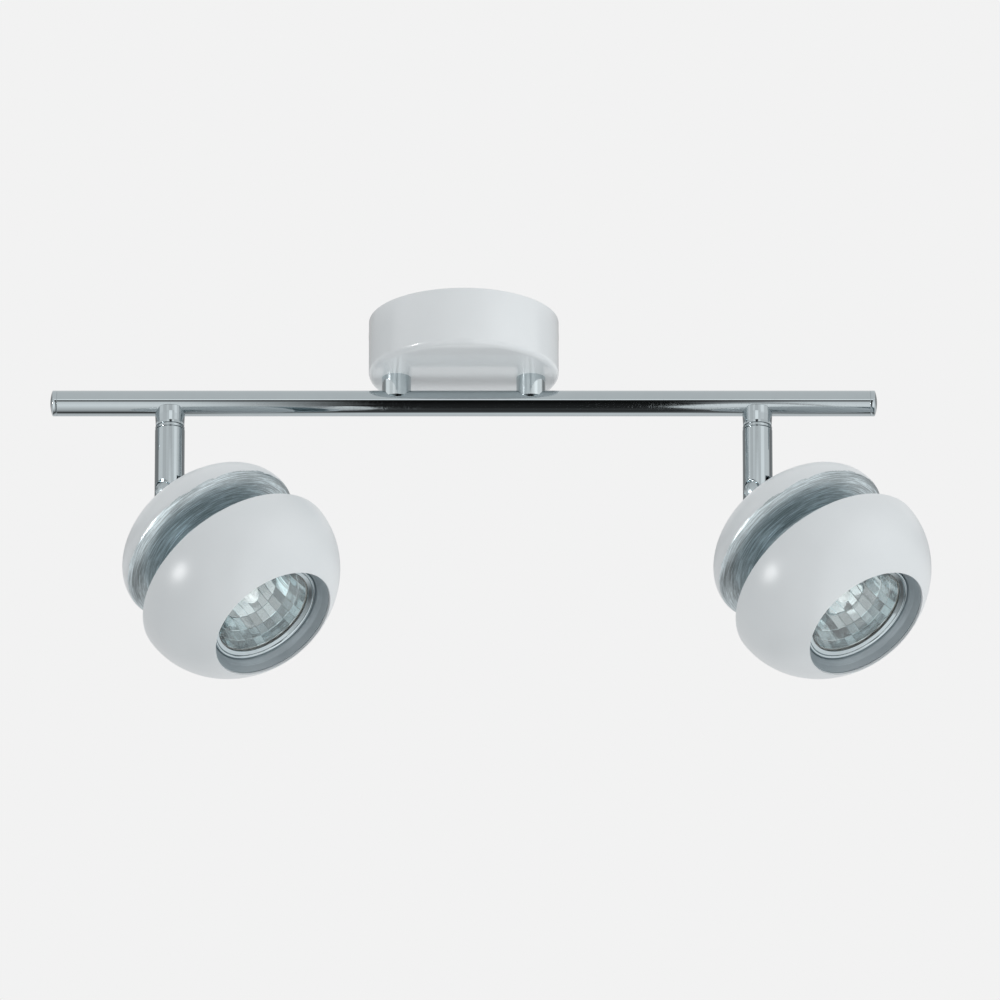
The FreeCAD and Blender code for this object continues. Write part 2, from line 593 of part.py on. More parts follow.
def waist():
    """Hourglass ring between the dome and the front shell: curved flank, neck and front flange."""
    inner_radius, inner_flank = DOME_RADIUS - WAIST_WALL, FLANK_DEPTH - WAIST_WALL
    neck_inner = WAIST_RADIUS - WAIST_WALL
    start_angle = math.asin(PAINT_EDGE_OFFSET / FLANK_DEPTH)
    neck_angle = math.acos((WAIST_RADIUS + WAIST_FILLET) / DOME_RADIUS)
    inner_start_angle = math.asin(PAINT_EDGE_OFFSET / inner_flank)
    inner_end_angle = math.acos(neck_inner / inner_radius)
    flank_end = oval_point(DOME_EQUATOR, DOME_RADIUS, FLANK_DEPTH, neck_angle)
    neck_low = (WAIST_RADIUS, flank_end[1] + WAIST_FILLET)
    neck_high = (WAIST_RADIUS, SHELL_REAR_EDGE - WAIST_FILLET)
    flange_start = (WAIST_RADIUS + WAIST_FILLET, SHELL_REAR_EDGE)
    flange_front = SHELL_REAR_EDGE + WAIST_WALL
    flange_angle = math.asin((SHELL_REAR_EDGE - SHELL_EQUATOR) / SHELL_INNER_DEPTH)
    flange_radius = SHELL_INNER_RADIUS * math.cos(flange_angle)
    outline = oval(DOME_EQUATOR, DOME_RADIUS, FLANK_DEPTH, start_angle, neck_angle)
    outline += [quarter((flank_end[0], neck_low[1]), flank_end, neck_low), line(neck_low, neck_high),
                quarter((flange_start[0], neck_high[1]), neck_high, flange_start)]
    outline += chain([flange_start, (flange_radius, SHELL_REAR_EDGE), (flange_radius, flange_front),
                      (neck_inner, flange_front),
                      oval_point(DOME_EQUATOR, inner_radius, inner_flank, inner_end_angle)])
    outline += oval(DOME_EQUATOR, inner_radius, inner_flank, inner_start_angle, inner_end_angle)
    outline.append(line(oval_point(DOME_EQUATOR, inner_radius, inner_flank, inner_start_angle),
                        oval_point(DOME_EQUATOR, DOME_RADIUS, FLANK_DEPTH, start_angle)))
    lap_back = PAINT_EDGE - WAIST_LAP
    lap_angle = math.asin((DOME_EQUATOR - lap_back) / (DOME_DEPTH - DOME_WALL))
    lap_radius = (DOME_RADIUS - DOME_WALL) * math.cos(lap_angle) - FIT_GAP
    reach = (lap_radius - WAIST_WALL / 2) / inner_radius
    lap_front = DOME_EQUATOR + inner_flank * math.sqrt(1 - reach ** 2)
    lap = tube(lap_radius, lap_radius - WAIST_WALL, lap_back, lap_front)
    return turned(outline).fuse(lap).removeSplitter()


def front_shell():
    """Spun front shell from its sharp rear edge to the round opening."""
    rear = SHELL_REAR_EDGE - SHELL_EQUATOR
    outer = SHELL_EQUATOR, SHELL_RADIUS, SHELL_DEPTH
    inner = SHELL_EQUATOR, SHELL_INNER_RADIUS, SHELL_INNER_DEPTH
    outer_ends = math.asin(rear / SHELL_DEPTH), math.acos(OPENING_RADIUS / SHELL_RADIUS)
    inner_ends = math.asin(rear / SHELL_INNER_DEPTH), math.acos(OPENING_RADIUS / SHELL_INNER_RADIUS)
    outline = oval(*outer, *outer_ends) + oval(*inner, *inner_ends)
    for outer_end, inner_end in zip(outer_ends, inner_ends):
        outline.append(line(oval_point(*outer, outer_end), oval_point(*inner, inner_end)))
    return turned(outline)


def inner_sleeve():
    """Satin sleeve behind the opening: a cone down to the lamp, a short tube and a seat for the lamp."""
    front_outer = OPENING_RADIUS + SLEEVE_WALL / 2
    front_inner = front_outer - SLEEVE_WALL
    front_angle = math.acos(front_outer / SHELL_INNER_RADIUS)
    front = oval_point(SHELL_EQUATOR, SHELL_INNER_RADIUS, SHELL_INNER_DEPTH, front_angle)[1]
    cone_end = LAMP_FACE + RETAINER_THICKNESS + EDGE_GAP
    outer = SLEEVE_INNER + SLEEVE_WALL
    seat_radius = REFLECTOR_OUTER + EDGE_GAP
    seat_back = LAMP_RIM_BACK - SLEEVE_WALL
    return turned_polygon([(front_inner, front), (SLEEVE_INNER, cone_end), (SLEEVE_INNER, LAMP_RIM_BACK),
                           (seat_radius, LAMP_RIM_BACK), (seat_radius, seat_back), (outer, seat_back),
                           (outer, cone_end), (front_outer, front - SLEEVE_WALL), (front_outer, front)])


def lamp_retainer():
    """Sprung chrome ring that holds the lamp's rim in the sleeve, with two beads."""
    base, top = LAMP_FACE, LAMP_FACE + RETAINER_THICKNESS
    bead_foot = (base + top) / 2
    valley = (RING_INNER_RADIUS + RING_OUTER_RADIUS) / 2
    bead_crest = (valley + RING_OUTER_RADIUS) / 2
    outline = chain([(valley, bead_foot), (RING_INNER_RADIUS, base + RETAINER_LIP), (RING_INNER_RADIUS, base),
                     (RING_OUTER_RADIUS, base), (RING_OUTER_RADIUS, bead_foot)])
    outline.append(arc((RING_OUTER_RADIUS, bead_foot), (bead_crest, top), (valley, bead_foot)))
    return turned(outline)


def lamp_reflector():
    """Glass reflector: rim, bowl outside and rows of flat facets on a parabola inside."""
    mouth, neck = REFLECTOR_MOUTH, REFLECTOR_NECK_RADIUS
    outer_neck = neck + REFLECTOR_WALL
    middle = (outer_neck + REFLECTOR_OUTER) / 2
    rise = (middle ** 2 - outer_neck ** 2) / (REFLECTOR_OUTER ** 2 - outer_neck ** 2)
    middle_height = LAMP_BASE_FRONT + rise * (LAMP_RIM_BACK - LAMP_BASE_FRONT)
    outline = chain([(REFLECTOR_OUTER, LAMP_RIM_BACK), (LAMP_RIM_RADIUS, LAMP_RIM_BACK),
                     (LAMP_RIM_RADIUS, LAMP_FACE), (0, LAMP_FACE), (0, LAMP_BASE_FRONT),
                     (outer_neck, LAMP_BASE_FRONT)])
    outline.append(arc((outer_neck, LAMP_BASE_FRONT), (middle, middle_height),
                       (REFLECTOR_OUTER, LAMP_RIM_BACK)))
    turns = [math.radians(360 * k / REFLECTOR_FACETS) for k in range(REFLECTOR_FACETS + 1)]
    steepness = REFLECTOR_DEPTH / (mouth ** 2 - neck ** 2)
    rings = []
    for row in range(REFLECTOR_ROWS + 1):
        radius = neck + (mouth - neck) * row / REFLECTOR_ROWS
        height = REFLECTOR_NECK + (radius ** 2 - neck ** 2) * steepness
        rings.append(Part.makePolygon([V(radius * math.cos(t), radius * math.sin(t), height) for t in turns]))
    hollow = Part.makeLoft(rings, True, True)
    recess = rod(LAMP_GLASS_RADIUS + FIT_GAP, V(0, 0, REFLECTOR_TOP), V(0, 0, LAMP_FACE + OVERRUN))
    return turned(outline).cut(hollow).cut(recess)


def lamp_glass():
    """Clear front glass in the reflector's rim."""
    return rod(LAMP_GLASS_RADIUS, V(0, 0, REFLECTOR_TOP), V(0, 0, REFLECTOR_TOP + LAMP_GLASS_THICKNESS))


def lamp_capsule():
    """Halogen capsule on the lamp's axis, with a rounded tip."""
    tip = REFLECTOR_NECK + CAPSULE_LENGTH
    shoulder = tip - CAPSULE_RADIUS
    outline = chain([(0, tip), (0, REFLECTOR_NECK), (CAPSULE_RADIUS, REFLECTOR_NECK),
                     (CAPSULE_RADIUS, shoulder)])
    outline.append(quarter((0, shoulder), (CAPSULE_RADIUS, shoulder), (0, tip)))
    return turned(outline)


def lamp_base():
    """Ceramic lamp base, stepped down towards its pins."""
    step = LAMP_BASE_FRONT - LAMP_BASE_LENGTH / 2
    bevel = LAMP_BASE_RADIUS - LAMP_BASE_FOOT_RADIUS
    return turned_polygon([(0, LAMP_BASE_BACK), (LAMP_BASE_FOOT_RADIUS, LAMP_BASE_BACK),
                           (LAMP_BASE_FOOT_RADIUS, step - bevel), (LAMP_BASE_RADIUS, step),
                           (LAMP_BASE_RADIUS, LAMP_BASE_FRONT), (0, LAMP_BASE_FRONT)])


def pin_places():
    """Places of the lamp's two pins across the head's axis."""
    return [V(0, sign * LAMP_PIN_SPACING / 2, 0) for sign in SIDES.values()]


def lamp_pins():
    """Two headed pins of the lamp's twist-lock base."""
    end = LAMP_BASE_BACK - LAMP_PIN_LENGTH
    head = end + LAMP_PIN_HEAD_LENGTH
    pins = []
    for place in pin_places():
        pin = turned_polygon([(0, LAMP_BASE_BACK), (LAMP_PIN_RADIUS, LAMP_BASE_BACK), (LAMP_PIN_RADIUS, head),
                              (LAMP_PIN_HEAD_RADIUS, head), (LAMP_PIN_HEAD_RADIUS, end), (0, end)])
        pin.translate(place)
        pins.append(pin)
    return Part.makeCompound(pins)


def lampholder():
    """Ceramic lampholder with a keyhole slot for each pin and a bevelled front edge."""
    front, shoulder = LAMP_BASE_BACK, LAMP_BASE_BACK - HOLDER_BEVEL
    body = turned_polygon([(0, HOLDER_BACK), (HOLDER_RADIUS, HOLDER_BACK), (HOLDER_RADIUS, shoulder),
                           (HOLDER_RADIUS - HOLDER_BEVEL, front), (0, front)])
    slots = [rod(LAMP_PIN_HEAD_RADIUS + EDGE_GAP, place + V(0, 0, front - HOLDER_SLOT_DEPTH),
                 place + V(0, 0, front + OVERRUN)) for place in pin_places()]
    return body.cut(Part.makeCompound(slots))


def holder_bracket():
    """Pressed bracket clamped by the head's nut, whose two arms carry the lampholder."""
    base, height = BRACKET_BACK, HOLDER_BACK - BRACKET_BACK
    radius, half = DOME_SEAT_RADIUS - EDGE_GAP, BRACKET_ARM_WIDTH / 2
    plate = Part.makeCylinder(radius, BRACKET_THICKNESS, V(0, 0, base))
    band = Part.makeBox(2 * radius, BRACKET_ARM_WIDTH, height, V(-radius, -half, base))
    arms = band.common(tube(radius, radius - BRACKET_THICKNESS, base, base + height))
    hole = rod(SPIGOT_RADIUS + FIT_GAP, V(0, 0, base - OVERRUN), V(0, 0, HOLDER_BACK))
    return plate.fuse(arms).removeSplitter().cut(hole)


def on_saddle(shape, sign):
    """Moves a piece from the bar's axis to one of the two stem places."""
    shape.translate(V(sign * STEM_SPACING / 2, 0, -BAR_DROP))
    return shape


def on_stem(shape, sign):
    """Turns a stem piece to the rest heading and moves it to its place."""
    shape.rotate(V(0, 0, 0), V(0, 0, 1), HEAD_HEADING)
    return on_saddle(shape, sign)


def on_hinge(shape, sign):
    """Tilts a head piece about the hinge to the rest pose and moves it to its place."""
    shape.rotate(V(0, 0, 0), V(0, 1, 0), 180 - HEAD_TILT)
    shape.translate(V(0, 0, -HINGE_DROP))
    return on_stem(shape, sign)


SADDLE_PIECES = {"saddle": saddle, "pivot_nipple": pivot_nipple, "pivot_nut": pivot_nut}
STEM_PIECES = {"groove_ring": groove_ring, "stem_bush": stem_bush, "stem": stem,
               "hinge_washers": hinge_washers, "hinge_screw": hinge_screw, "hinge_nut": hinge_nut}
HEAD_PIECES = {"tongue": tongue, "head_nut": head_nut, "rear_dome": rear_dome, "waist": waist,
               "front_shell": front_shell, "inner_sleeve": inner_sleeve, "lamp_retainer": lamp_retainer,
               "lamp_reflector": lamp_reflector, "lamp_glass": lamp_glass, "lamp_capsule": lamp_capsule,
               "lamp_base": lamp_base, "lamp_pins": lamp_pins, "lampholder": lampholder,
               "holder_bracket": holder_bracket}
FIXED_PIECES = {"canopy": canopy, "mounting_strap": mounting_strap, "earth_screw": earth_screw,
                "canopy_grub_screws": canopy_grub_screws, "terminal_block": terminal_block,
                "post_washers": post_washers, "post_nuts": post_nuts, "bar_tube": bar_tube}


def build():
    """All pieces by node name, in place."""
    pieces = {name: make() for name, make in FIXED_PIECES.items()}
    for side, sign in SIDES.items():
        pieces[f"{side}_post"] = post(sign * POST_X)
        pieces[f"{side}_post_nipple"] = post_nipple(sign * POST_X)
        pieces[f"{side}_end_cap"] = end_cap(sign)
        for name, make in SADDLE_PIECES.items():
            pieces[f"{side}_{name}"] = on_saddle(make(), sign)
        for name, make in STEM_PIECES.items():
            pieces[f"{side}_{name}"] = on_stem(make(), sign)
        for name, make in HEAD_PIECES.items():
            pieces[f"{side}_{name}"] = on_hinge(make(), sign)
    return pieces


os.makedirs("parts", exist_ok=True)
for node, shape in build().items():
    shape.exportStep(f"parts/{node}.step")
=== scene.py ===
import logging
import math
import random
from dataclasses import dataclass
from enum import Enum
from typing import Callable, Iterable, Sequence

import bmesh
import bpy
from bmesh.types import BMEdge, BMesh, BMFace, BMVert
from bpy.types import Material, Mesh, Node, NodeSocket, NodeTree, Object
from mathutils import Matrix, Vector


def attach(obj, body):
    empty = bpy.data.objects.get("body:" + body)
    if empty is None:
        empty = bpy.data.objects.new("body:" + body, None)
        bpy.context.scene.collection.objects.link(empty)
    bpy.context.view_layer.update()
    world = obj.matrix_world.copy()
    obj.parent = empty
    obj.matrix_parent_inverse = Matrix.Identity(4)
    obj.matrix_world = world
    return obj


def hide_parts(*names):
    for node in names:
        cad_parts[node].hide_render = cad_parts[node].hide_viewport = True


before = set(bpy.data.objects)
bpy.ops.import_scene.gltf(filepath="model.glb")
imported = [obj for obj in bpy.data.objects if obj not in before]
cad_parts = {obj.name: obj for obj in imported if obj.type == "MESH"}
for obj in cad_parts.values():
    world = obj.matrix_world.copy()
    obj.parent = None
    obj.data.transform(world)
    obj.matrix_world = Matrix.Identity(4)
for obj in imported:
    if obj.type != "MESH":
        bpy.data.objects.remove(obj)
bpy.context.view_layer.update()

# Sizes in the classes are millimetres along each piece's own axis, unless the class says otherwise. Meshes and the
# map are metres, and so are the distances here.
MM = 0.001
WELD = 1e-7
CAD_WELD = 2e-6
SMOOTH_ANGLE = math.radians(32)
BEVEL_ANGLE = math.radians(40)
# How far a point of a rounded corner may lie off it
ON_RING = 1e-6
# How much the corners of a round face may differ in reach, and how far its normal may lean along the shaft
ROUND_SLACK = 1.5e-5
ROUND_LEAN = 0.02
# Half width of a sprayed coat's soft edge
COAT_SOFTNESS = 0.00018
# Reflection cards glow at this strength, and their tones are shares of it
CARD_GLOW = 1.6

FACET = "facet"
LOG = logging.getLogger("spotlight")
MATERIALS: dict[str, Material] = {}

Point = tuple[float, float]
Colour = tuple[float, float, float]
Inputs = dict[str | int, object]


class Side(Enum):
    """The two ends of the bar."""

    LEFT = -1
    RIGHT = 1

    @property
    def word(self) -> str:
        """Prefix of this side's node and piece names."""
        return self.name.lower()


@dataclass(frozen=True)
class Layout:
    """Where the sub-assemblies sit, from the mounting face down."""

    bar_drop: float = 40.2
    stem_spacing: float = 271.8
    bar_length: float = 382.8
    hinge_drop: float = 44.2
    heading: float = -31.7
    tilt: float = 37.0

    def stem_place(self, side: Side) -> Matrix:
        """Matrix from the stem's own axes, origin on the bar's axis, to the row's frame."""
        place = Vector((side.value * self.stem_spacing / 2, 0, -self.bar_drop)) * MM
        return Matrix.Translation(place) @ Matrix.Rotation(math.radians(self.heading), 4, "Z")

    def head_place(self, side: Side) -> Matrix:
        """Matrix from the head's own axes, +Z out through its opening, to the row's frame."""
        turn = Matrix.Rotation(math.radians(180 - self.tilt), 4, "Y")
        return self.stem_place(side) @ Matrix.Translation(Vector((0, 0, -self.hinge_drop)) * MM) @ turn

    def cap_place(self, side: Side) -> Matrix:
        """Matrix from an end cap's own axes, +Z out of the bar, to the row's frame."""
        place = Vector((side.value * self.bar_length / 2, 0, -self.bar_drop)) * MM
        return Matrix.Translation(place) @ Matrix.Rotation(side.value * math.pi / 2, 4, "Y")


LAYOUT = Layout()


class Value:
    """A node's output, whose arithmetic adds Math nodes to its tree."""

    def __init__(self, tree: "Tree", socket: NodeSocket) -> None:
        """Keeps the output socket and the tree that it is in."""
        self.tree, self.socket = tree, socket

    def __add__(self, other: object) -> "Value":
        """Adds a number or a value."""
        return self.tree.math("ADD", self, other)

    def __sub__(self, other: object) -> "Value":
        """Takes a number or a value away."""
        return self.tree.math("SUBTRACT", self, other)

    def __rsub__(self, other: object) -> "Value":
        """Takes this value away from a number."""
        return self.tree.math("SUBTRACT", other, self)

    def __mul__(self, other: object) -> "Value":
        """Multiplies by a number or a value."""
        return self.tree.math("MULTIPLY", self, other)

    def __truediv__(self, other: object) -> "Value":
        """Divides by a number or a value."""
        return self.tree.math("DIVIDE", self, other)


class Tree:
    """Adds nodes to a shader tree and joins them."""

    def __init__(self, tree: NodeTree) -> None:
        """Keeps the node tree of a material, a group or the world."""
        self.tree = tree

    def fill(self, node: Node, inputs: Inputs) -> Node:
        """Sets inputs of a node.

        Args:
            node: the node.
            inputs: socket names or numbers, each with a constant, a Value or an output socket.

        Returns:
            The node itself.
        """
        for name, given in inputs.items():
            source = given.socket if isinstance(given, Value) else given
            if isinstance(source, NodeSocket):
                self.tree.links.new(source, node.inputs[name])
            else:
                node.inputs[name].default_value = source
        return node

    def add(self, kind: str, inputs: Inputs | None = None, **settings: object) -> Node:
        """Adds one node.

        Args:
            kind: the node's type name without its ShaderNode prefix.
            inputs: its inputs, as for fill.
            settings: properties of the node.

        Returns:
            The new node.
        """
        node = self.tree.nodes.new("ShaderNode" + kind)
        for name, value in settings.items():
            setattr(node, name, value)
        return self.fill(node, inputs or {})

    def value(self, kind: str, inputs: Inputs, output: str | int = 0, **settings: object) -> Value:
        """Adds one node and gives one of its outputs."""
        return Value(self, self.add(kind, inputs, **settings).outputs[output])

    def math(self, operation: str, first: object, second: object = 0.0) -> Value:
        """Adds a Math node."""
        return self.value("Math", {0: first, 1: second}, operation=operation)

    def angle(self, rise: object, run: object) -> Value:
        """Angle in degrees of a rise over a run."""
        return self.math("DEGREES", self.math("ARCTAN2", rise, run))

    def around(self, turns: Value) -> tuple[Value, Value]:
        """Cosine and sine of a number of turns."""
        angle = turns * math.tau
        return self.math("COSINE", angle), self.math("SINE", angle)

    def mix(self, share: object, first: object, second: object, blend: str = "MIX") -> Value:
        """Mixes two colours."""
        return self.value("Mix", {0: share, 6: first, 7: second}, 2, data_type="RGBA", blend_type=blend)

    def ranged(self, value: object, lows: Sequence[object], highs: Sequence[object]) -> Value:
        """Maps a value linearly from one range to another, clamped."""
        return self.value("MapRange", dict(enumerate((value, *lows, *highs))))

    def noise(self, where: object, scale: object, detail: float = 2.0, roughness: float = 0.5) -> Value:
        """Adds a Noise Texture."""
        return self.value("TexNoise", {"Vector": where, "Scale": scale, "Detail": detail, "Roughness": roughness})

    def split(self, vector: object) -> list[Value]:
        """Parts X, Y and Z of a vector."""
        return [Value(self, part) for part in self.add("SeparateXYZ", {0: vector}).outputs]

    def vector(self, x: object, y: object, z: object = 0.0) -> Value:
        """Joins three values to a vector."""
        return self.value("CombineXYZ", {0: x, 1: y, 2: z})

    def seen(self) -> Value:
        """Tells the rays that show a surface to the camera, to metal and to glass.

        Returns:
            One for those rays.
        """
        path = self.add("LightPath").outputs
        mirrored = self.math("MAXIMUM", path["Is Glossy Ray"], path["Is Transmission Ray"])
        return self.math("MAXIMUM", path["Is Camera Ray"], mirrored)

    def ramp(self, value: Value, stops: Sequence[Point]) -> Value:
        """Maps a value through straight pieces between stops to a share of the cards' glow.

        Args:
            value: the value.
            stops: value and tone pairs in rising order of value.

        Returns:
            The tone, as a colour.
        """
        low, high = stops[0][0], stops[-1][0]
        node = self.add("ValToRGB", {0: self.ranged(value, (low, high), (0.0, 1.0))})
        parts = node.color_ramp.elements
        while len(parts) < len(stops):
            parts.new(0.5)
        for part, (at, _) in zip(parts, stops):
            part.position = (at - low) / (high - low)
        for part, (_, tone) in zip(parts, stops):
            part.color = grey(tone / CARD_GLOW)
        return Value(self, node.outputs[0])


class Surface(Tree):
    """A material's tree with its shader and its coordinates."""

    def __init__(self, material: Material) -> None:
        """Clears the material's tree and joins a new shader to its output.

        Args:
            material: the material.
        """
        material.use_nodes = True
        material.node_tree.nodes.clear()
        super().__init__(material.node_tree)
        self.shader = self.add("BsdfPrincipled")
        self.add("OutputMaterial", {0: self.shader.outputs[0]})
        place = self.add("TexCoord").outputs
        self.where, self.flat = place["Object"], place["UV"]

    def shade(self, inputs: Inputs) -> None:
        """Sets inputs of the shader."""
        self.fill(self.shader, inputs)


def grey(tone: float) -> tuple[float, float, float, float]:
    """Opaque grey of one tone."""
    return tone, tone, tone, 1.0


def shared_group(name: str, result: str, **inputs: float | None) -> Callable[[Callable], Callable]:
    """Turns a function that wires a node group into one that places the group.

    Args:
        name: the group's name.
        result: name of its one output, a value.
        inputs: its inputs, each with its default, or with None for a vector.

    Returns:
        The decorator. The function that it takes is given the group's tree and a Value for each input, and gives
        the result. The function that it makes is given a tree and the inputs by name, and gives the group's result.
    """

    def build(wire: Callable[..., Value]) -> NodeTree:
        """Makes the group.

        Args:
            wire: the wiring function.

        Returns:
            The group.
        """
        made = bpy.data.node_groups.new(name, "ShaderNodeTree")
        for label, value in inputs.items():
            kind = "NodeSocketVector" if value is None else "NodeSocketFloat"
            socket = made.interface.new_socket(name=label, in_out="INPUT", socket_type=kind)
            if value is not None:
                socket.default_value = value
        made.interface.new_socket(name=result, in_out="OUTPUT", socket_type="NodeSocketFloat")
        tree, source = Tree(made), made.nodes.new("NodeGroupInput")
        given = [Value(tree, socket) for socket in source.outputs[:len(inputs)]]
        tree.fill(made.nodes.new("NodeGroupOutput"), {0: wire(tree, *given)})
        return made

    def decorate(wire: Callable[..., Value]) -> Callable[..., Value]:
        """Makes the placing function of a wiring function.

        Args:
            wire: the wiring function.

        Returns:
            The placing function.
        """

        def place(tree: Tree, **given: object) -> Value:
            """Places the group, which is made the first time."""
            return tree.value("Group", given, node_tree=bpy.data.node_groups.get(name) or build(wire))

        return place

    return decorate


@shared_group("mottle", "Value", Vector=None, Scale=30.0, Low=0.0, High=1.0)
def mottle(tree: Tree, where: Value, scale: Value, low: Value, high: Value) -> Value:
    """Soft uneven value over the surface, for tone and gloss: two sizes of noise, added and ranged."""
    broad, fine = tree.noise(where, scale, 3.0, 0.55), tree.noise(where, scale * 9.0)
    return tree.ranged(broad * 0.7 + fine * 0.3, (0.32, 0.68), (low, high))


@shared_group("spray_peel", "Height", Vector=None, Scale=700.0)
def spray_peel(tree: Tree, where: Value, scale: Value) -> Value:
    """Height of sprayed enamel: shallow smooth cells with a fine grain in them."""
    cells = tree.value("TexVoronoi", {0: where, "Scale": scale, "Smoothness": 1.0}, "Distance", feature="SMOOTH_F1")
    return cells * 0.8 + tree.noise(where, scale * 4.0, 1.0) * 0.2


@shared_group("spun_rings", "Height", Map=None, Rings=2500.0, Drift=2.0)
def spun_rings(tree: Tree, flat: Value, rings: Value, drift: Value) -> Value:
    """Rings of spinning: noise that is quick along the map's length and slow round its turns.

    Args:
        tree: the group's tree.
        flat: the map.
        rings: rings in a metre of length.
        drift: how much a ring changes round a turn.

    Returns:
        The relief's height.
    """
    turns, length, _ = tree.split(flat)
    right, up = tree.around(turns)
    return tree.noise(tree.vector(right * drift, up * drift, length * rings), 1.0, 4.0, 0.7)


@shared_group("coat_edge", "Coat", Map=None, Edge=0.001, Wander=0.002)
def coat_edge(tree: Tree, flat: Value, edge: Value, wander: Value) -> Value:
    """Ragged edge of a sprayed coat: the map's length against an edge that noise moves.

    Args:
        tree: the group's tree.
        flat: the map.
        edge: length at which the coat ends.
        wander: how far noise moves the edge.

    Returns:
        One where the coat covers.
    """
    turns, length, _ = tree.split(flat)
    ragged = tree.noise(tree.vector(*tree.around(turns), length * 60.0), 9.0, 5.0, 0.65)
    gap = edge + (ragged - 0.5) * wander - length
    return tree.ranged(gap, (-COAT_SOFTNESS, COAT_SOFTNESS), (0.0, 1.0))


@shared_group("hairlines", "Mask", Vector=None, Scale=14.0)
def hairlines(tree: Tree, where: Value, scale: Value) -> Value:
    """Sparse hairlines of handling: two stretched noises at an angle, cut to thin lines.

    Args:
        tree: the group's tree.
        where: the piece's coordinates.
        scale: scale of the noises.

    Returns:
        One on the lines.
    """
    masks = []
    for turn, stretch in ((0.5, (1.0, 30.0, 6.0)), (2.1, (26.0, 1.0, 5.0))):
        inputs = {"Vector": where, "Rotation": (turn, turn, turn), "Scale": stretch}
        lines = tree.noise(tree.value("Mapping", inputs), scale)
        masks.append(tree.ranged(tree.math("ABSOLUTE", lines - 0.5), (0.0, 0.006), (1.0, 0.0)))
    return tree.math("MAXIMUM", *masks)


@dataclass(frozen=True)
class Finish:
    """A surface finish that becomes one material."""

    name: str
    slot: str
    colour: Colour
    roughness: Point = (0.3, 0.4)
    metallic: float = 0.0
    tone: float = 0.04
    mottle_scale: float = 40.0
    bump: float = 0.02
    depth: float = 0.0002

    def material(self) -> Material:
        """Makes the material the first time.

        Returns:
            The material.
        """
        if self.name not in MATERIALS:
            MATERIALS[self.name] = made = bpy.data.materials.new(self.name)
            self.dress(Surface(made))
        return MATERIALS[self.name]

    def base(self, tree: Surface) -> tuple[Value, Value]:
        """Wires the uneven colour and gloss that every finish has.

        Args:
            tree: the material's tree.

        Returns:
            The colour and the roughness, for a finish that adds to them.
        """
        low, high = self.roughness
        dark = tuple(c * (1 - self.tone) for c in self.colour) + (1.0,)
        light = tuple(min(c * (1 + self.tone / 2), 1.0) for c in self.colour) + (1.0,)
        colour = tree.mix(mottle(tree, Vector=tree.where, Scale=self.mottle_scale), dark, light)
        gloss = mottle(tree, Vector=tree.where, Scale=self.mottle_scale * 2.3, Low=low, High=high)
        tree.shade({"Metallic": self.metallic, "Base Color": colour, "Roughness": gloss})
        return colour, gloss

    def bumped(self, tree: Surface, height: Value) -> None:
        """Drives the shader's normal from a height, with the finish's bump and depth in metres."""
        inputs = {"Strength": self.bump, "Distance": self.depth, "Height": height}
        tree.shade({"Normal": tree.value("Bump", inputs)})

    def dress(self, tree: Surface) -> None:
        """Plain moulded or plated surface: uneven tone and gloss with a fine grain."""
        self.base(tree)
        self.bumped(tree, spray_peel(tree, Vector=tree.where, Scale=900.0))


@dataclass(frozen=True)
class Enamel(Finish):
    """Sprayed and baked gloss enamel on steel, with or without a clear lacquer."""

    depth: float = 0.0001
    peel_scale: float = 420.0
    mark_scale: float = 9.0
    mark_gloss: float = 0.03
    lacquer: float = 0.0
    lacquer_roughness: float = 0.06

    def dress(self, tree: Surface) -> None:
        """Even colour with a trace of spray peel and a few handling marks in the gloss.

        Args:
            tree: the material's tree.
        """
        _, gloss = self.base(tree)
        marks = hairlines(tree, Vector=tree.where, Scale=self.mark_scale)
        tree.shade({"Roughness": gloss + marks * self.mark_gloss,
                    "Coat Weight": self.lacquer, "Coat Roughness": self.lacquer_roughness})
        self.bumped(tree, spray_peel(tree, Vector=tree.where, Scale=self.peel_scale))


@dataclass(frozen=True)
class Plating(Finish):
    """Polished plated tube or turned part."""

    depth: float = 0.00005
    line_scale: float = 22.0
    line_gloss: float = 0.02

    def dress(self, tree: Surface) -> None:
        """Mirror-like, with a smudged gloss and fine hairlines.

        Args:
            tree: the material's tree.
        """
        _, gloss = self.base(tree)
        lines = hairlines(tree, Vector=tree.where, Scale=self.line_scale)
        tree.shade({"Roughness": gloss + lines * self.line_gloss})
        self.bumped(tree, lines)


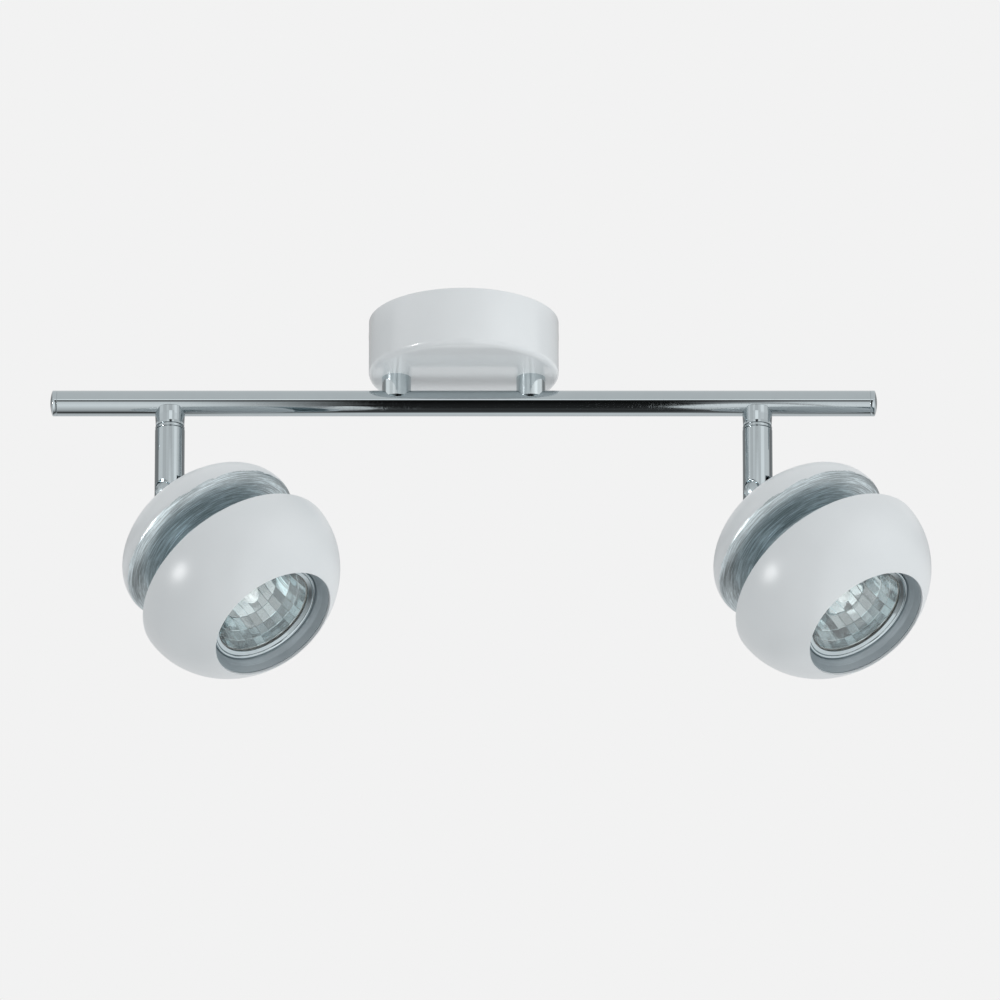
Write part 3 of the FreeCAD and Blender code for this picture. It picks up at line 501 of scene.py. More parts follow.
@dataclass(frozen=True)
class Spun(Finish):
    """Metal with the rings of its spinning and brushing, some of it under a sprayed coat's edge."""

    depth: float = 0.0001
    rings: float = 2600.0
    drift: float = 2.5
    contrast: float = 0.18
    ring_gloss: float = 0.08
    flecks: float = 0.0
    coat_edge: float = 0.0
    coat_wander: float = 0.0
    coat_colour: Colour = (0.8, 0.8, 0.8)
    coat_gloss: float = 0.3
    coat_rise: float = 1.6

    def dress(self, tree: Surface) -> None:
        """Rings in the tone, gloss and relief, then the coat where it laps over the edge.

        Args:
            tree: the material's tree.
        """
        colour, gloss = self.base(tree)
        height = rings = spun_rings(tree, Map=tree.flat, Rings=self.rings, Drift=self.drift)
        shade = tree.ranged(rings, (0.3, 0.7), (1 - self.contrast, 1 + self.contrast / 2))
        if self.flecks:
            streaks = spun_rings(tree, Map=tree.flat, Rings=self.rings * 1.3, Drift=self.drift * 1.4)
            shade = shade * tree.ranged(streaks, (0.44, 0.6), (1 - self.flecks / 2, 1 + self.flecks))
            height = height + streaks
        toned, rough = tree.mix(1.0, colour, shade, "MULTIPLY"), gloss + rings * self.ring_gloss
        if self.coat_wander:
            coat = coat_edge(tree, Map=tree.flat, Edge=self.coat_edge, Wander=self.coat_wander)
            bare = 1.0 - coat
            toned = tree.mix(coat, toned, self.coat_colour + (1.0,))
            rough = rough * bare + coat * self.coat_gloss
            height = height * bare + coat * self.coat_rise
            tree.shade({"Metallic": self.metallic - coat * self.metallic})
        tree.shade({"Base Color": toned, "Roughness": rough})
        self.bumped(tree, height)


@dataclass(frozen=True)
class Faceted(Finish):
    """Pressed mirror whose facets each have a painted shade, which stands in for the different reflections of its
    facets.
    """

    darkest_painted_reflection: float = 0.5
    wave_scale: float = 260.0

    def dress(self, tree: Surface) -> None:
        """The facet's painted reflection shade from its attribute, over an uneven tone.

        Args:
            tree: the material's tree.
        """
        colour, _ = self.base(tree)
        own = tree.value("Attribute", {}, "Fac", attribute_name=FACET)
        # Painted reflection: each facet's own shade darkens the mirror's colour
        shade = tree.ranged(own, (0.0, 1.0), (self.darkest_painted_reflection, 1.0))
        tree.shade({"Base Color": tree.mix(1.0, colour, shade, "MULTIPLY")})
        self.bumped(tree, mottle(tree, Vector=tree.where, Scale=self.wave_scale))


@dataclass(frozen=True)
class FloorPaint(Finish):
    """Pale paint that is seen as light as the surround, whatever light falls on it."""

    lift: float = 0.335

    def dress(self, tree: Surface) -> None:
        """Even paint, lifted where it is seen, so that it still keeps the fitting's shadow."""
        self.base(tree)
        tree.shade({"Emission Color": tree.mix(tree.seen(), grey(0.0), grey(self.lift)), "Emission Strength": 1.0})


@dataclass(frozen=True)
class ClearGlass(Finish):
    """Clear lamp glass."""

    depth: float = 0.0001
    index: float = 1.5
    clearness: float = 1.0
    wave_scale: float = 90.0
    painted_glow: float = 0.0
    cloud_scale: float = 650.0
    cloud_high: float = 1.6

    def dress(self, tree: Surface) -> None:
        """Clear, with a trace of haze and, where it is set, an uneven painted glow that stands in for light in the
        glass.

        Args:
            tree: the material's tree.
        """
        colour, _ = self.base(tree)
        # Painted glow: uneven emission that makes the glass shine though it is no lamp
        if self.painted_glow:
            clouds = mottle(tree, Vector=tree.where, Scale=self.cloud_scale, High=self.cloud_high)
            glow = tree.mix(1.0, colour, clouds, "MULTIPLY")
            tree.shade({"Emission Color": glow, "Emission Strength": self.painted_glow})
        tree.shade({"Transmission Weight": self.clearness, "IOR": self.index})
        self.bumped(tree, mottle(tree, Vector=tree.where, Scale=self.wave_scale))


WHITE = (0.735, 0.775, 0.79)
ENAMEL = Enamel("baked_enamel", "white_enamel", WHITE, (0.30, 0.36), tone=0.015, mottle_scale=12.0, bump=0.10)
# A lighter copy of the heads' white enamel for the canopy: painted light that lifts its shaded underside and sides
LACQUERED_PAINTED_LIGHT = Enamel("lacquered_enamel_painted_light", "white_enamel", (0.775, 0.815, 0.83), (0.30, 0.36), tone=0.015,
                   mottle_scale=12.0, bump=0.10, lacquer=0.7)
NICKEL = Plating("nickel_plate", "polished_nickel", (0.43, 0.48, 0.50), (0.03, 0.05), metallic=1.0,
                 tone=0.03, mottle_scale=25.0, bump=0.015)
BRIGHT_NICKEL = Plating("bright_nickel_plate", "polished_nickel", (0.55, 0.61, 0.63), (0.05, 0.09), metallic=1.0,
                        tone=0.03, mottle_scale=25.0, bump=0.05)
SATIN_NICKEL = Plating("satin_nickel_plate", "polished_nickel", (0.40, 0.45, 0.47), (0.24, 0.32), metallic=1.0,
                       tone=0.03, mottle_scale=25.0, bump=0.05)
CHROME = Plating("chrome_plate", "bright_chrome", (0.58, 0.66, 0.69), (0.05, 0.09), metallic=1.0, bump=0.03)
FLANK = Spun("brushed_flank", "brushed_nickel", (0.50, 0.565, 0.59), (0.24, 0.34), metallic=1.0, tone=0.10,
             mottle_scale=45.0, bump=0.7, rings=2400.0, contrast=0.35, flecks=0.5,
             coat_edge=0.0006, coat_wander=0.0034, coat_colour=WHITE)
# At its front edge the sleeve's coat fields make a darker grey band, not metal, about 3 mm wide
SLEEVE = Spun("spun_sleeve", "satin_sleeve", (0.395, 0.455, 0.485), (0.42, 0.52), metallic=0.6, tone=0.05,
              bump=0.3, rings=3200.0, depth=0.00004, coat_edge=0.0030, coat_wander=0.0012,
              coat_colour=(0.27, 0.32, 0.345))
MIRROR = Faceted("pressed_mirror", "lamp_mirror", (0.84, 0.935, 0.96), (0.02, 0.05), metallic=1.0, tone=0.05,
                 mottle_scale=120.0, bump=0.04)
GLASS = ClearGlass("lamp_front_glass", "clear_glass", (0.97, 0.985, 0.98), (0.0, 0.01), tone=0.01)
# The bulb's glass has a painted glow, an emission in place of the light that would reach it through the front glass
BULB_GLASS = ClearGlass("bulb_glass", "clear_glass", (0.95, 0.99, 1.0), (0.02, 0.05), metallic=0.3, tone=0.02,
                        bump=0.3, clearness=0.35, painted_glow=0.30)
SHELL_GLASS = Finish("pressed_glass", "lamp_mirror", (0.55, 0.57, 0.54), (0.12, 0.2), metallic=0.4)
CERAMIC = Finish("glazed_ceramic", "ceramic", (0.80, 0.78, 0.72), (0.18, 0.28), bump=0.05)
ZINC = Finish("zinc_plate", "zinc_steel", (0.55, 0.55, 0.53), (0.28, 0.42), metallic=1.0, tone=0.1, bump=0.06)
BRASS = Finish("plain_brass", "brass_parts", (0.66, 0.50, 0.24), (0.25, 0.38), metallic=1.0, tone=0.1, bump=0.05)
MOULDED = Finish("moulded_block", "terminal_plastic", (0.78, 0.78, 0.75), (0.42, 0.55), bump=0.15)
NYLON = Finish("dark_washer", "washer_plastic", (0.03, 0.03, 0.03), (0.4, 0.55), bump=0.1)
TUNGSTEN = Finish("filament_metal", "zinc_steel", (0.35, 0.34, 0.33), (0.35, 0.5), metallic=1.0, bump=0.05)
FLOOR_PAINT = FloorPaint("floor_paint", "white_enamel", (0.84, 0.84, 0.84), (0.7, 0.8), tone=0.01, mottle_scale=2.0)


def arc(start: Point, angle: float, steps: int, stretch: Point = (1.0, 1.0)) -> list[Point]:
    """Points of an arc about the origin.

    Args:
        start: the first point.
        angle: its sweep in radians.
        steps: number of edges.
        stretch: what the two directions are then multiplied by.

    Returns:
        The points from first to last.
    """
    work = bmesh.new()
    first = work.verts.new((start[0], 0, start[1]))
    bmesh.ops.spin(work, geom=[first], axis=(0, -1, 0), cent=(0, 0, 0), angle=angle, steps=steps)
    bmesh.ops.scale(work, vec=(stretch[0], 1, stretch[1]), verts=work.verts)
    work.verts.ensure_lookup_table()
    points = [(v.co.x, v.co.z) for v in work.verts]
    work.free()
    return points


def spun(work: BMesh, points: Sequence[Point], steps: int, closed: bool) -> None:
    """Turns a profile once round Z into faces.

    Args:
        work: the bmesh that takes them.
        points: distance from the axis and place along it, in millimetres.
        steps: number of faces round the turn.
        closed: whether the last point is joined to the first.
    """
    verts = [work.verts.new((r * MM, 0, z * MM)) for r, z in points]
    chain = verts + verts[:1] if closed else verts
    edges = [work.edges.new(pair) for pair in zip(chain, chain[1:]) if max(pair[0].co.x, pair[1].co.x) > WELD]
    bmesh.ops.spin(work, geom=verts + edges, axis=(0, 0, 1), cent=(0, 0, 0), angle=math.tau, steps=steps,
                   use_merge=True)
    bmesh.ops.remove_doubles(work, verts=work.verts, dist=WELD)
    bmesh.ops.recalc_face_normals(work, faces=work.faces)


def eased(work: BMesh, edges: Sequence[BMEdge], width: float, segments: int) -> None:
    """Rounds edges, by a width in millimetres."""
    bmesh.ops.bevel(work, geom=edges, offset=width * MM, offset_type="OFFSET", segments=segments, profile=0.5,
                    affect="EDGES", clamp_overlap=True, material=-1)


class Outline:
    """Half section of a turned piece in the plane of its axis, in millimetres."""

    def __init__(self) -> None:
        """Starts an empty outline."""
        self.points: list[Point] = []
        self.rounds: list[tuple[Point, float]] = []

    def to(self, radius: float, height: float, rounding: float = 0.0) -> "Outline":
        """Adds a point.

        Args:
            radius: distance from the axis.
            height: place along the axis.
            rounding: how much the corner is rounded.

        Returns:
            The outline itself.
        """
        self.points.append((radius, height))
        return self.rounded(rounding) if rounding else self

    def rounded(self, rounding: float, index: int = -1) -> "Outline":
        """Rounds the corner at a point, which is the last one unless told otherwise."""
        self.rounds.append((self.points[index], rounding))
        return self

    def oval(self, centre: float, radial: float, axial: float, start: float, end: float, steps: int) -> "Outline":
        """Adds an arc of an ellipse about a point of the axis.

        Args:
            centre: height of the ellipse's centre.
            radial: half size across the axis.
            axial: half size along the axis.
            start: first angle in radians, 0 across the axis.
            end: last angle.
            steps: number of edges.

        Returns:
            The outline itself.
        """
        points = arc((math.cos(start), math.sin(start)), end - start, steps, (radial, axial))
        self.points += [(r, z + centre) for r, z in points]
        return self

    def bend(self, centre: Point, radius: float, start: float, end: float, steps: int = 10,
             skip: int = 0) -> "Outline":
        """Adds a round corner.

        Args:
            centre: its centre.
            radius: its radius.
            start: first angle in degrees, 0 across the axis.
            end: last angle.
            steps: number of edges.
            skip: number of first points that are left out.

        Returns:
            The outline itself.
        """
        angle = math.radians(start)
        first = (radius * math.cos(angle), radius * math.sin(angle))
        points = arc(first, math.radians(end - start), steps)
        self.points += [(r + centre[0], z + centre[1]) for r, z in points[skip:]]
        return self

    def turned(self, steps: int) -> BMesh:
        """Spins the closed outline into a solid of revolution about Z, in metres.

        Args:
            steps: number of faces round the turn.

        Returns:
            The mesh, with its corners rounded and a map of turns and length.
        """
        work = bmesh.new()
        spun(work, self.points, steps, closed=True)
        for (radius, height), rounding in self.rounds:
            corner = Vector((radius, height)) * MM
            eased(work, [e for e in work.edges if all((section(v) - corner).length < ON_RING for v in e.verts)],
                  rounding, 4)
        self.unroll(work)
        return work

    def unroll(self, work: BMesh) -> None:
        """Writes the map: turns round the axis across, length along the outline up, in metres.

        Args:
            work: the turned mesh.
        """
        flat = work.loops.layers.uv.new("turns")
        known: dict[Point, float] = {}
        for face in work.faces:
            turns = [math.atan2(loop.vert.co.y, loop.vert.co.x) / math.tau % 1.0 for loop in face.loops]
            wraps = max(turns) - min(turns) > 0.5
            for loop, turn in zip(face.loops, turns):
                key = (round(math.hypot(loop.vert.co.x, loop.vert.co.y), 7), round(loop.vert.co.z, 7))
                if key not in known:
                    known[key] = self.length_at(Vector((key[0] / MM, key[1] / MM))) * MM
                loop[flat].uv = (turn + 1.0 if wraps and turn < 0.5 else turn, known[key])

    def length_at(self, here: Vector) -> float:
        """Length along the outline to its point nearest a place.

        Args:
            here: the place's radius and height.

        Returns:
            The length in millimetres.
        """
        best, found, run = math.inf, 0.0, 0.0
        for start, end in zip(self.points, self.points[1:]):
            a, b = Vector(start), Vector(end)
            span = (b - a).length
            if span > 0:
                share = min(max((here - a).dot(b - a) / span ** 2, 0.0), 1.0)
                off = (here - a.lerp(b, share)).length
                if off < best:
                    best, found = off, run + share * span
            run += span
        return found


def section(vert: BMVert) -> Vector:
    """A vertex's distance from the axis and its place along it."""
    return Vector((math.hypot(vert.co.x, vert.co.y), vert.co.z))


def shown(name: str, data: bpy.types.ID) -> Object:
    """Makes an object and puts it in the scene.

    Args:
        name: the object's name.
        data: its mesh, lamp or camera.

    Returns:
        The object.
    """
    made = bpy.data.objects.new(name, data)
    bpy.context.scene.collection.objects.link(made)
    return made


def meshed(work: BMesh, name: str, finish: Finish) -> Object:
    """Makes an object of a bmesh, which is freed.

    Args:
        work: the bmesh.
        name: name of the object and its mesh.
        finish: its surface finish.

    Returns:
        The object.
    """
    mesh = bpy.data.meshes.new(name)
    work.to_mesh(mesh)
    work.free()
    mesh.materials.append(finish.material())
    return shown(name, mesh)


def placed(work: BMesh, place: Matrix, name: str, finish: Finish, body: str, replaces: Sequence[str] = ()) -> Object:
    """Makes a piece of a bmesh: its place, shading, finish, body and what it stands for.

    Args:
        work: the bmesh.
        place: matrix from its own axes to the row's frame.
        name: the piece's name.
        finish: its surface finish.
        body: the body that it rides on.
        replaces: the frame's nodes that it stands for.

    Returns:
        The piece's object.
    """
    work.transform(place)
    work.normal_update()
    for face in work.faces:
        face.smooth = True
    for edge in work.edges:
        edge.smooth = len(edge.link_faces) == 2 and edge.calc_face_angle(0.0) < SMOOTH_ANGLE
    piece = meshed(work, name, finish)
    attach(piece, body)
    if replaces:
        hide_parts(*replaces)
    LOG.info("%s: %d faces, %s, on %s", name, len(piece.data.polygons), finish.name, body)
    return piece


class Axis(Enum):
    """Direction of a shaft that a piece is turned about."""

    NONE = -1
    X = 0
    Z = 2


def refined(node: str, name: str, finish: Finish, body: str, edge: float, shaft: Axis = Axis.NONE) -> None:
    """Makes a smooth-shaded piece from a welded copy of a frame node's mesh.

    Args:
        node: the frame's node that the piece replaces.
        name: the piece's name.
        finish: its surface finish.
        body: the body that it rides on.
        edge: width of the eased edges in millimetres.
        shaft: direction of the axis through its middle that its round faces are shaded about.
    """
    work = bmesh.new()
    work.from_mesh(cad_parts[node].data)
    bmesh.ops.remove_doubles(work, verts=work.verts, dist=CAD_WELD)
    eased(work, [e for e in work.edges if e.calc_face_angle(0.0) > BEVEL_ANGLE], edge, 2)
    piece = placed(work, Matrix(), name, finish, body, [node])
    if shaft is not Axis.NONE:
        true_round(piece.data, shaft)


def true_round(mesh: Mesh, shaft: Axis) -> None:
    """Gives the round faces of a long turned piece their exact normals.

    Args:
        mesh: the piece's mesh.
        shaft: direction of the axis, which runs through the middle of the mesh.
    """
    lows, highs = ([pick(v.co[i] for v in mesh.vertices) for i in range(3)] for pick in (min, max))
    centre = (Vector(lows) + Vector(highs)) / 2
    normals = [n.vector.copy() for n in mesh.corner_normals]
    for face in mesh.polygons:
        arms = {corner: mesh.vertices[mesh.loops[corner].vertex_index].co - centre for corner in face.loop_indices}
        for arm in arms.values():
            arm[shaft.value] = 0.0
        reach = [arm.length for arm in arms.values()]
        if max(reach) - min(reach) < ROUND_SLACK and abs(face.normal[shaft.value]) < ROUND_LEAN:
            for corner, arm in arms.items():
                normals[corner] = arm.normalized() * math.copysign(1.0, arm.dot(face.normal))
    mesh.normals_split_custom_set(normals)


def dressed(finish: Finish, nodes: Iterable[str], prefix: str = "") -> None:
    """Gives frame nodes that stay as they are their finish.

    Args:
        finish: the surface finish.
        nodes: the nodes' names.
        prefix: what their names begin with.
    """
    for node in nodes:
        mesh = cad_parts[prefix + node].data
        mesh.materials.clear()
        mesh.materials.append(finish.material())


def pushed(work: BMesh, loop: Sequence[BMVert], depth: float) -> None:
    """Extrudes a loop of a flat mesh down and closes it there.

    Args:
        work: the bmesh.
        loop: the loop's vertices.
        depth: how far, in millimetres.
    """
    edges = [e for e in work.edges if all(v in loop for v in e.verts)]
    made = bmesh.ops.extrude_edge_only(work, edges=edges)["geom"]
    far = [g for g in made if isinstance(g, BMVert)]
    bmesh.ops.translate(work, verts=far, vec=(0, 0, -depth * MM))
    bmesh.ops.contextual_create(work, geom=[g for g in made if isinstance(g, BMEdge)
                                            and all(v in far for v in g.verts)])


@dataclass
class Canopy:
    """The round cup on the ceiling, with the strap and the terminals inside it."""

    radius: float = 43.995
    height: float = 27.7
    wall: float = 1.0
    bend: float = 2.8
    grub_drop: float = 7.0
    grub_radius: float = 2.0
    grub_socket: float = 1.2
    grub_socket_depth: float = 1.6
    grub_length: float = 5.0
    grub_proud: float = 0.04

    def build(self) -> None:
        """Builds and dresses every piece of the canopy."""
        self.cup()
        for side in Side:
            self.grub_screw(side)
        dressed(ZINC, ["mounting_strap", "post_washers", "post_nuts"])
        dressed(BRASS, ["earth_screw"])
        dressed(MOULDED, ["terminal_block"])

    def cup(self) -> None:
        """The spun steel cup with its rounded lower edge."""
        low, floor = -self.height, self.wall - self.height
        inner, inner_bend = self.radius - self.wall, self.bend - self.wall
        outline = Outline().to(0, floor).to(inner - inner_bend, floor)
        outline.bend((inner - inner_bend, floor + inner_bend), inner_bend, -90, 0)
        outline.to(inner, 0, 0.25).to(self.radius, 0, 0.25)
        outline.bend((self.radius - self.bend, low + self.bend), self.bend, 0, -90).to(0, low)
        # The cup's enamel is painted lighter than the heads' enamel, as painted light
        placed(outline.turned(192), Matrix(), "canopy_cup", LACQUERED_PAINTED_LIGHT, "root", ["canopy"])

    def grub_screw(self, side: Side) -> None:
        """One socket screw in the cup's wall.

        Args:
            side: the side of the canopy that it is on.
        """
        work = bmesh.new()
        rim = bmesh.ops.create_circle(work, segments=36, radius=self.grub_radius * MM)["verts"]
        hexagon = bmesh.ops.create_circle(work, segments=6, radius=self.grub_socket * MM)["verts"]
        bmesh.ops.bridge_loops(work, edges=list(work.edges))
        pushed(work, hexagon, self.grub_socket_depth)
        pushed(work, rim, self.grub_length)
        bmesh.ops.recalc_face_normals(work, faces=work.faces)
        turn = Matrix.Rotation(side.value * math.pi / 2, 4, "Y")
        place = Vector((side.value * (self.radius + self.grub_proud), 0, -self.grub_drop)) * MM
        replaces = ["canopy_grub_screws"] if side is Side.LEFT else []
        placed(work, Matrix.Translation(place) @ turn, f"{side.word}_grub_screw", ZINC, "root", replaces)


@dataclass
class Bar:
    """The straight tube, its end caps and the posts that hold it."""

    cap_radius: float = 6.0
    cap_length: float = 3.1
    cap_dome: float = 1.1
    plug_radius: float = 5.0
    plug_length: float = 6.0

    def build(self) -> None:
        """Builds and dresses the bar's pieces."""
        refined("bar_tube", "bar", NICKEL, "root", 0.12, Axis.X)
        for side in Side:
            refined(f"{side.word}_post", f"{side.word}_stand_off", BRIGHT_NICKEL, "root", 0.15, Axis.Z)
            self.cap(side)
            dressed(ZINC, [f"{side.word}_post_nipple"])

    def cap(self, side: Side) -> None:
        """A domed cap with a fine seam against the tube.

        Args:
            side: the end of the bar that it closes.
        """
        sphere = (self.cap_radius ** 2 + self.cap_dome ** 2) / (2 * self.cap_dome)
        span = math.degrees(math.asin(self.cap_radius / sphere))
        seam, back = -self.cap_length, -self.cap_length - self.plug_length
        outline = Outline().to(0, back).to(self.plug_radius, back).to(self.plug_radius, seam)
        outline.to(self.cap_radius, seam, 0.15).to(self.cap_radius, -self.cap_dome, 0.3)
        outline.bend((0, -sphere), sphere, 90 - span, 90, skip=1)
        placed(outline.turned(96), LAYOUT.cap_place(side), f"{side.word}_cap", NICKEL, "root",
               [f"{side.word}_end_cap"])


@dataclass
class Stem:
    """Saddle, swivel pin, groove ring, stem and hinge under one end of the bar."""

    side: Side

    def build(self) -> None:
        """Builds and dresses the stem's pieces."""
        body = f"{self.side.word}_stem"
        for node, name, finish, rides, edge, shaft in (
                ("saddle", "collar", NICKEL, "root", 0.12, Axis.Z), ("stem", "stem_tube", NICKEL, body, 0.15, Axis.Z),
                ("groove_ring", "ring", NICKEL, body, 0.08, Axis.Z),
                ("hinge_screw", "hinge_bolt", SATIN_NICKEL, body, 0.1, Axis.NONE)):
            refined(f"{self.side.word}_{node}", f"{self.side.word}_{name}", finish, rides, edge, shaft)
        dressed(ZINC, ["hinge_nut", "pivot_nipple"], f"{self.side.word}_")
        dressed(NYLON, ["hinge_washers"], f"{self.side.word}_")
        dressed(BRASS, ["stem_bush", "pivot_nut"], f"{self.side.word}_")


@dataclass
class Head:
    """One tilting head: rear dome, waist, front shell, sleeve and lamp, measured from the hinge."""

    side: Side
    equator: float = 36.9
    dome_radius: float = 44.0
    dome_depth: float = 24.8
    dome_wall: float = 1.0
    dome_bore: float = 5.1
    seat_radius: float = 12.0
    flank_depth: float = 12.0
    paint_edge: float = 0.4
    neck: float = 28.0
    neck_fillet: float = 3.0
    rear_edge: float = 60.9
    shell_equator: float = 61.9
    shell_radius: float = 49.27
    shell_depth: float = 42.48
    shell_wall: float = 1.2
    opening: float = 30.3
    sleeve_wall: float = 0.8
    sleeve_bore: float = 24.45
    lamp_face: float = 86.0
    rim_radius: float = 25.2
    rim_thickness: float = 3.3
    ring_outer: float = 27.2
    ring_inner: float = 23.7
    ring_height: float = 2.0
    ring_space: float = 0.3
    ring_lip: float = 0.55
    ring_bead: float = 1.0
    fit: float = 0.1

    @property
    def body(self) -> str:
        """Name of the body that the head rides on."""
        return f"{self.side.word}_head"

    def piece(self, work: BMesh, name: str, finish: Finish, *replaces: str) -> None:
        """Makes a piece of the head from a bmesh in the head's own axes, with names that leave out the side."""
        nodes = [f"{self.side.word}_{node}" for node in replaces]
        placed(work, LAYOUT.head_place(self.side), f"{self.side.word}_{name}", finish, self.body, nodes)

    def build(self) -> None:
        """Builds and dresses the head's pieces."""
        self.rear()
        self.waist()
        self.front()
        self.sleeve()
        self.ring()
        Lamp(self).build()
        refined(f"{self.side.word}_tongue", f"{self.side.word}_knuckle", NICKEL, self.body, 0.15)
        dressed(ZINC, ["head_nut", "holder_bracket"], f"{self.side.word}_")
        dressed(CERAMIC, ["lampholder"], f"{self.side.word}_")

    def rear(self) -> None:
        """The enamelled rear dome with its flat seat."""
        radius, depth, flank = self.dome_radius, self.dome_depth, self.flank_depth
        inner, inner_depth, inner_flank = (size - self.dome_wall for size in (radius, depth, flank))
        seat = self.equator - depth * math.sqrt(1 - (self.seat_radius / radius) ** 2)
        inner_seat = seat + self.dome_wall
        pole = -math.acos(self.seat_radius / radius)
        inner_pole = -math.asin((self.equator - inner_seat) / inner_depth)
        outline = Outline().to(self.dome_bore, seat)
        outline.oval(self.equator, radius, depth, pole, 0, 48)
        outline.oval(self.equator, radius, flank, 0, math.asin(self.paint_edge / flank), 2)
        outline.oval(self.equator, inner, inner_flank, math.asin(self.paint_edge / inner_flank), 0, 2)
        outline.oval(self.equator, inner, inner_depth, 0, inner_pole, 40)
        outline.to(self.dome_bore, inner_seat)
        self.piece(outline.turned(160), "back_dome", ENAMEL, "rear_dome")

    def waist(self) -> None:
        """The bare spun flank and neck, with the enamel's ragged edge lapping on to it."""
        radius, depth, fillet = self.dome_radius, self.flank_depth, self.neck_fillet
        inner, inner_depth, inner_neck = (size - self.dome_wall for size in (radius, depth, self.neck))
        end = math.acos((self.neck + fillet) / radius)
        low = self.equator + depth * math.sin(end) + fillet
        front = self.rear_edge + self.dome_wall
        drop = (self.shell_equator - self.rear_edge) / (self.shell_depth - self.shell_wall)
        flange = (self.shell_radius - self.shell_wall) * math.sqrt(1 - drop ** 2)
        outline = Outline().oval(self.equator, radius, depth, math.asin(self.paint_edge / depth), end, 40)
        outline.bend((self.neck + fillet, low), fillet, 270, 180, skip=1)
        outline.bend((self.neck + fillet, self.rear_edge - fillet), fillet, 180, 90)
        outline.to(flange, self.rear_edge).to(flange, front).to(inner_neck, front)
        outline.oval(self.equator, inner, inner_depth, math.acos(inner_neck / inner),
                     math.asin(self.paint_edge / inner_depth), 24)
        self.piece(outline.turned(160), "flank", FLANK, "waist")

    def front(self) -> None:
        """The enamelled front shell from its thin rear edge to the rounded lip."""
        inner, inner_depth = self.shell_radius - self.shell_wall, self.shell_depth - self.shell_wall
        back = self.rear_edge - self.shell_equator
        outline = Outline().oval(self.shell_equator, self.shell_radius, self.shell_depth, math.asin(
            back / self.shell_depth), math.acos(self.opening / self.shell_radius), 56).rounded(0.35)
        outline.oval(self.shell_equator, inner, inner_depth, math.acos(self.opening / inner),
                     math.asin(back / inner_depth), 40).rounded(0.2, 0)
        self.piece(outline.turned(160), "front_bowl", ENAMEL, "front_shell")

    def sleeve(self) -> None:
        """The satin sleeve from the opening down to the lamp."""
        outer_front = self.opening + self.sleeve_wall / 2
        share = outer_front / (self.shell_radius - self.shell_wall)
        front = self.shell_equator + (self.shell_depth - self.shell_wall) * math.sqrt(1 - share ** 2)
        cone_end = self.lamp_face + self.ring_height + self.ring_space
        inner = self.ring_outer + self.fit
        outer = inner + self.sleeve_wall
        seat = self.lamp_face - self.rim_thickness
        back = seat - self.sleeve_wall
        outline = Outline().to(outer_front - self.sleeve_wall, front, 0.15).to(inner, cone_end, 0.4)
        outline.to(inner, seat).to(self.sleeve_bore, seat).to(self.sleeve_bore, back).to(outer, back)
        outline.to(outer, cone_end).to(outer_front, front - self.sleeve_wall).to(outer_front, front)
        self.piece(outline.turned(160), "throat", SLEEVE, "inner_sleeve")

    def ring(self) -> None:
        """The sprung ring in front of the lamp, with its bead and its thin inner lip."""
        base, foot = self.lamp_face, self.lamp_face + self.ring_height / 2
        valley = (self.ring_inner + self.ring_outer) / 2
        bead = (self.ring_outer - valley) / 2
        outline = Outline().to(self.ring_inner, base).to(self.ring_outer, base).to(self.ring_outer, foot)
        crest = arc((1.0, 0.0), math.pi, 16, (bead, self.ring_bead))
        outline.points += [(valley + bead + r, foot + z) for r, z in crest[1:-1]]
        outline.to(valley, foot, 0.1).to(self.ring_inner, base + self.ring_lip, 0.12)
        self.piece(outline.turned(160), "spring_ring", CHROME, "lamp_retainer")


def facet_order(face: BMFace) -> tuple[float, float]:
    """Key that sorts facets by row and turn, because the order that Blender gives them in changes from run to run."""
    centre = face.calc_center_median()
    return round(centre.z, 6), round(math.atan2(centre.y, centre.x), 3)


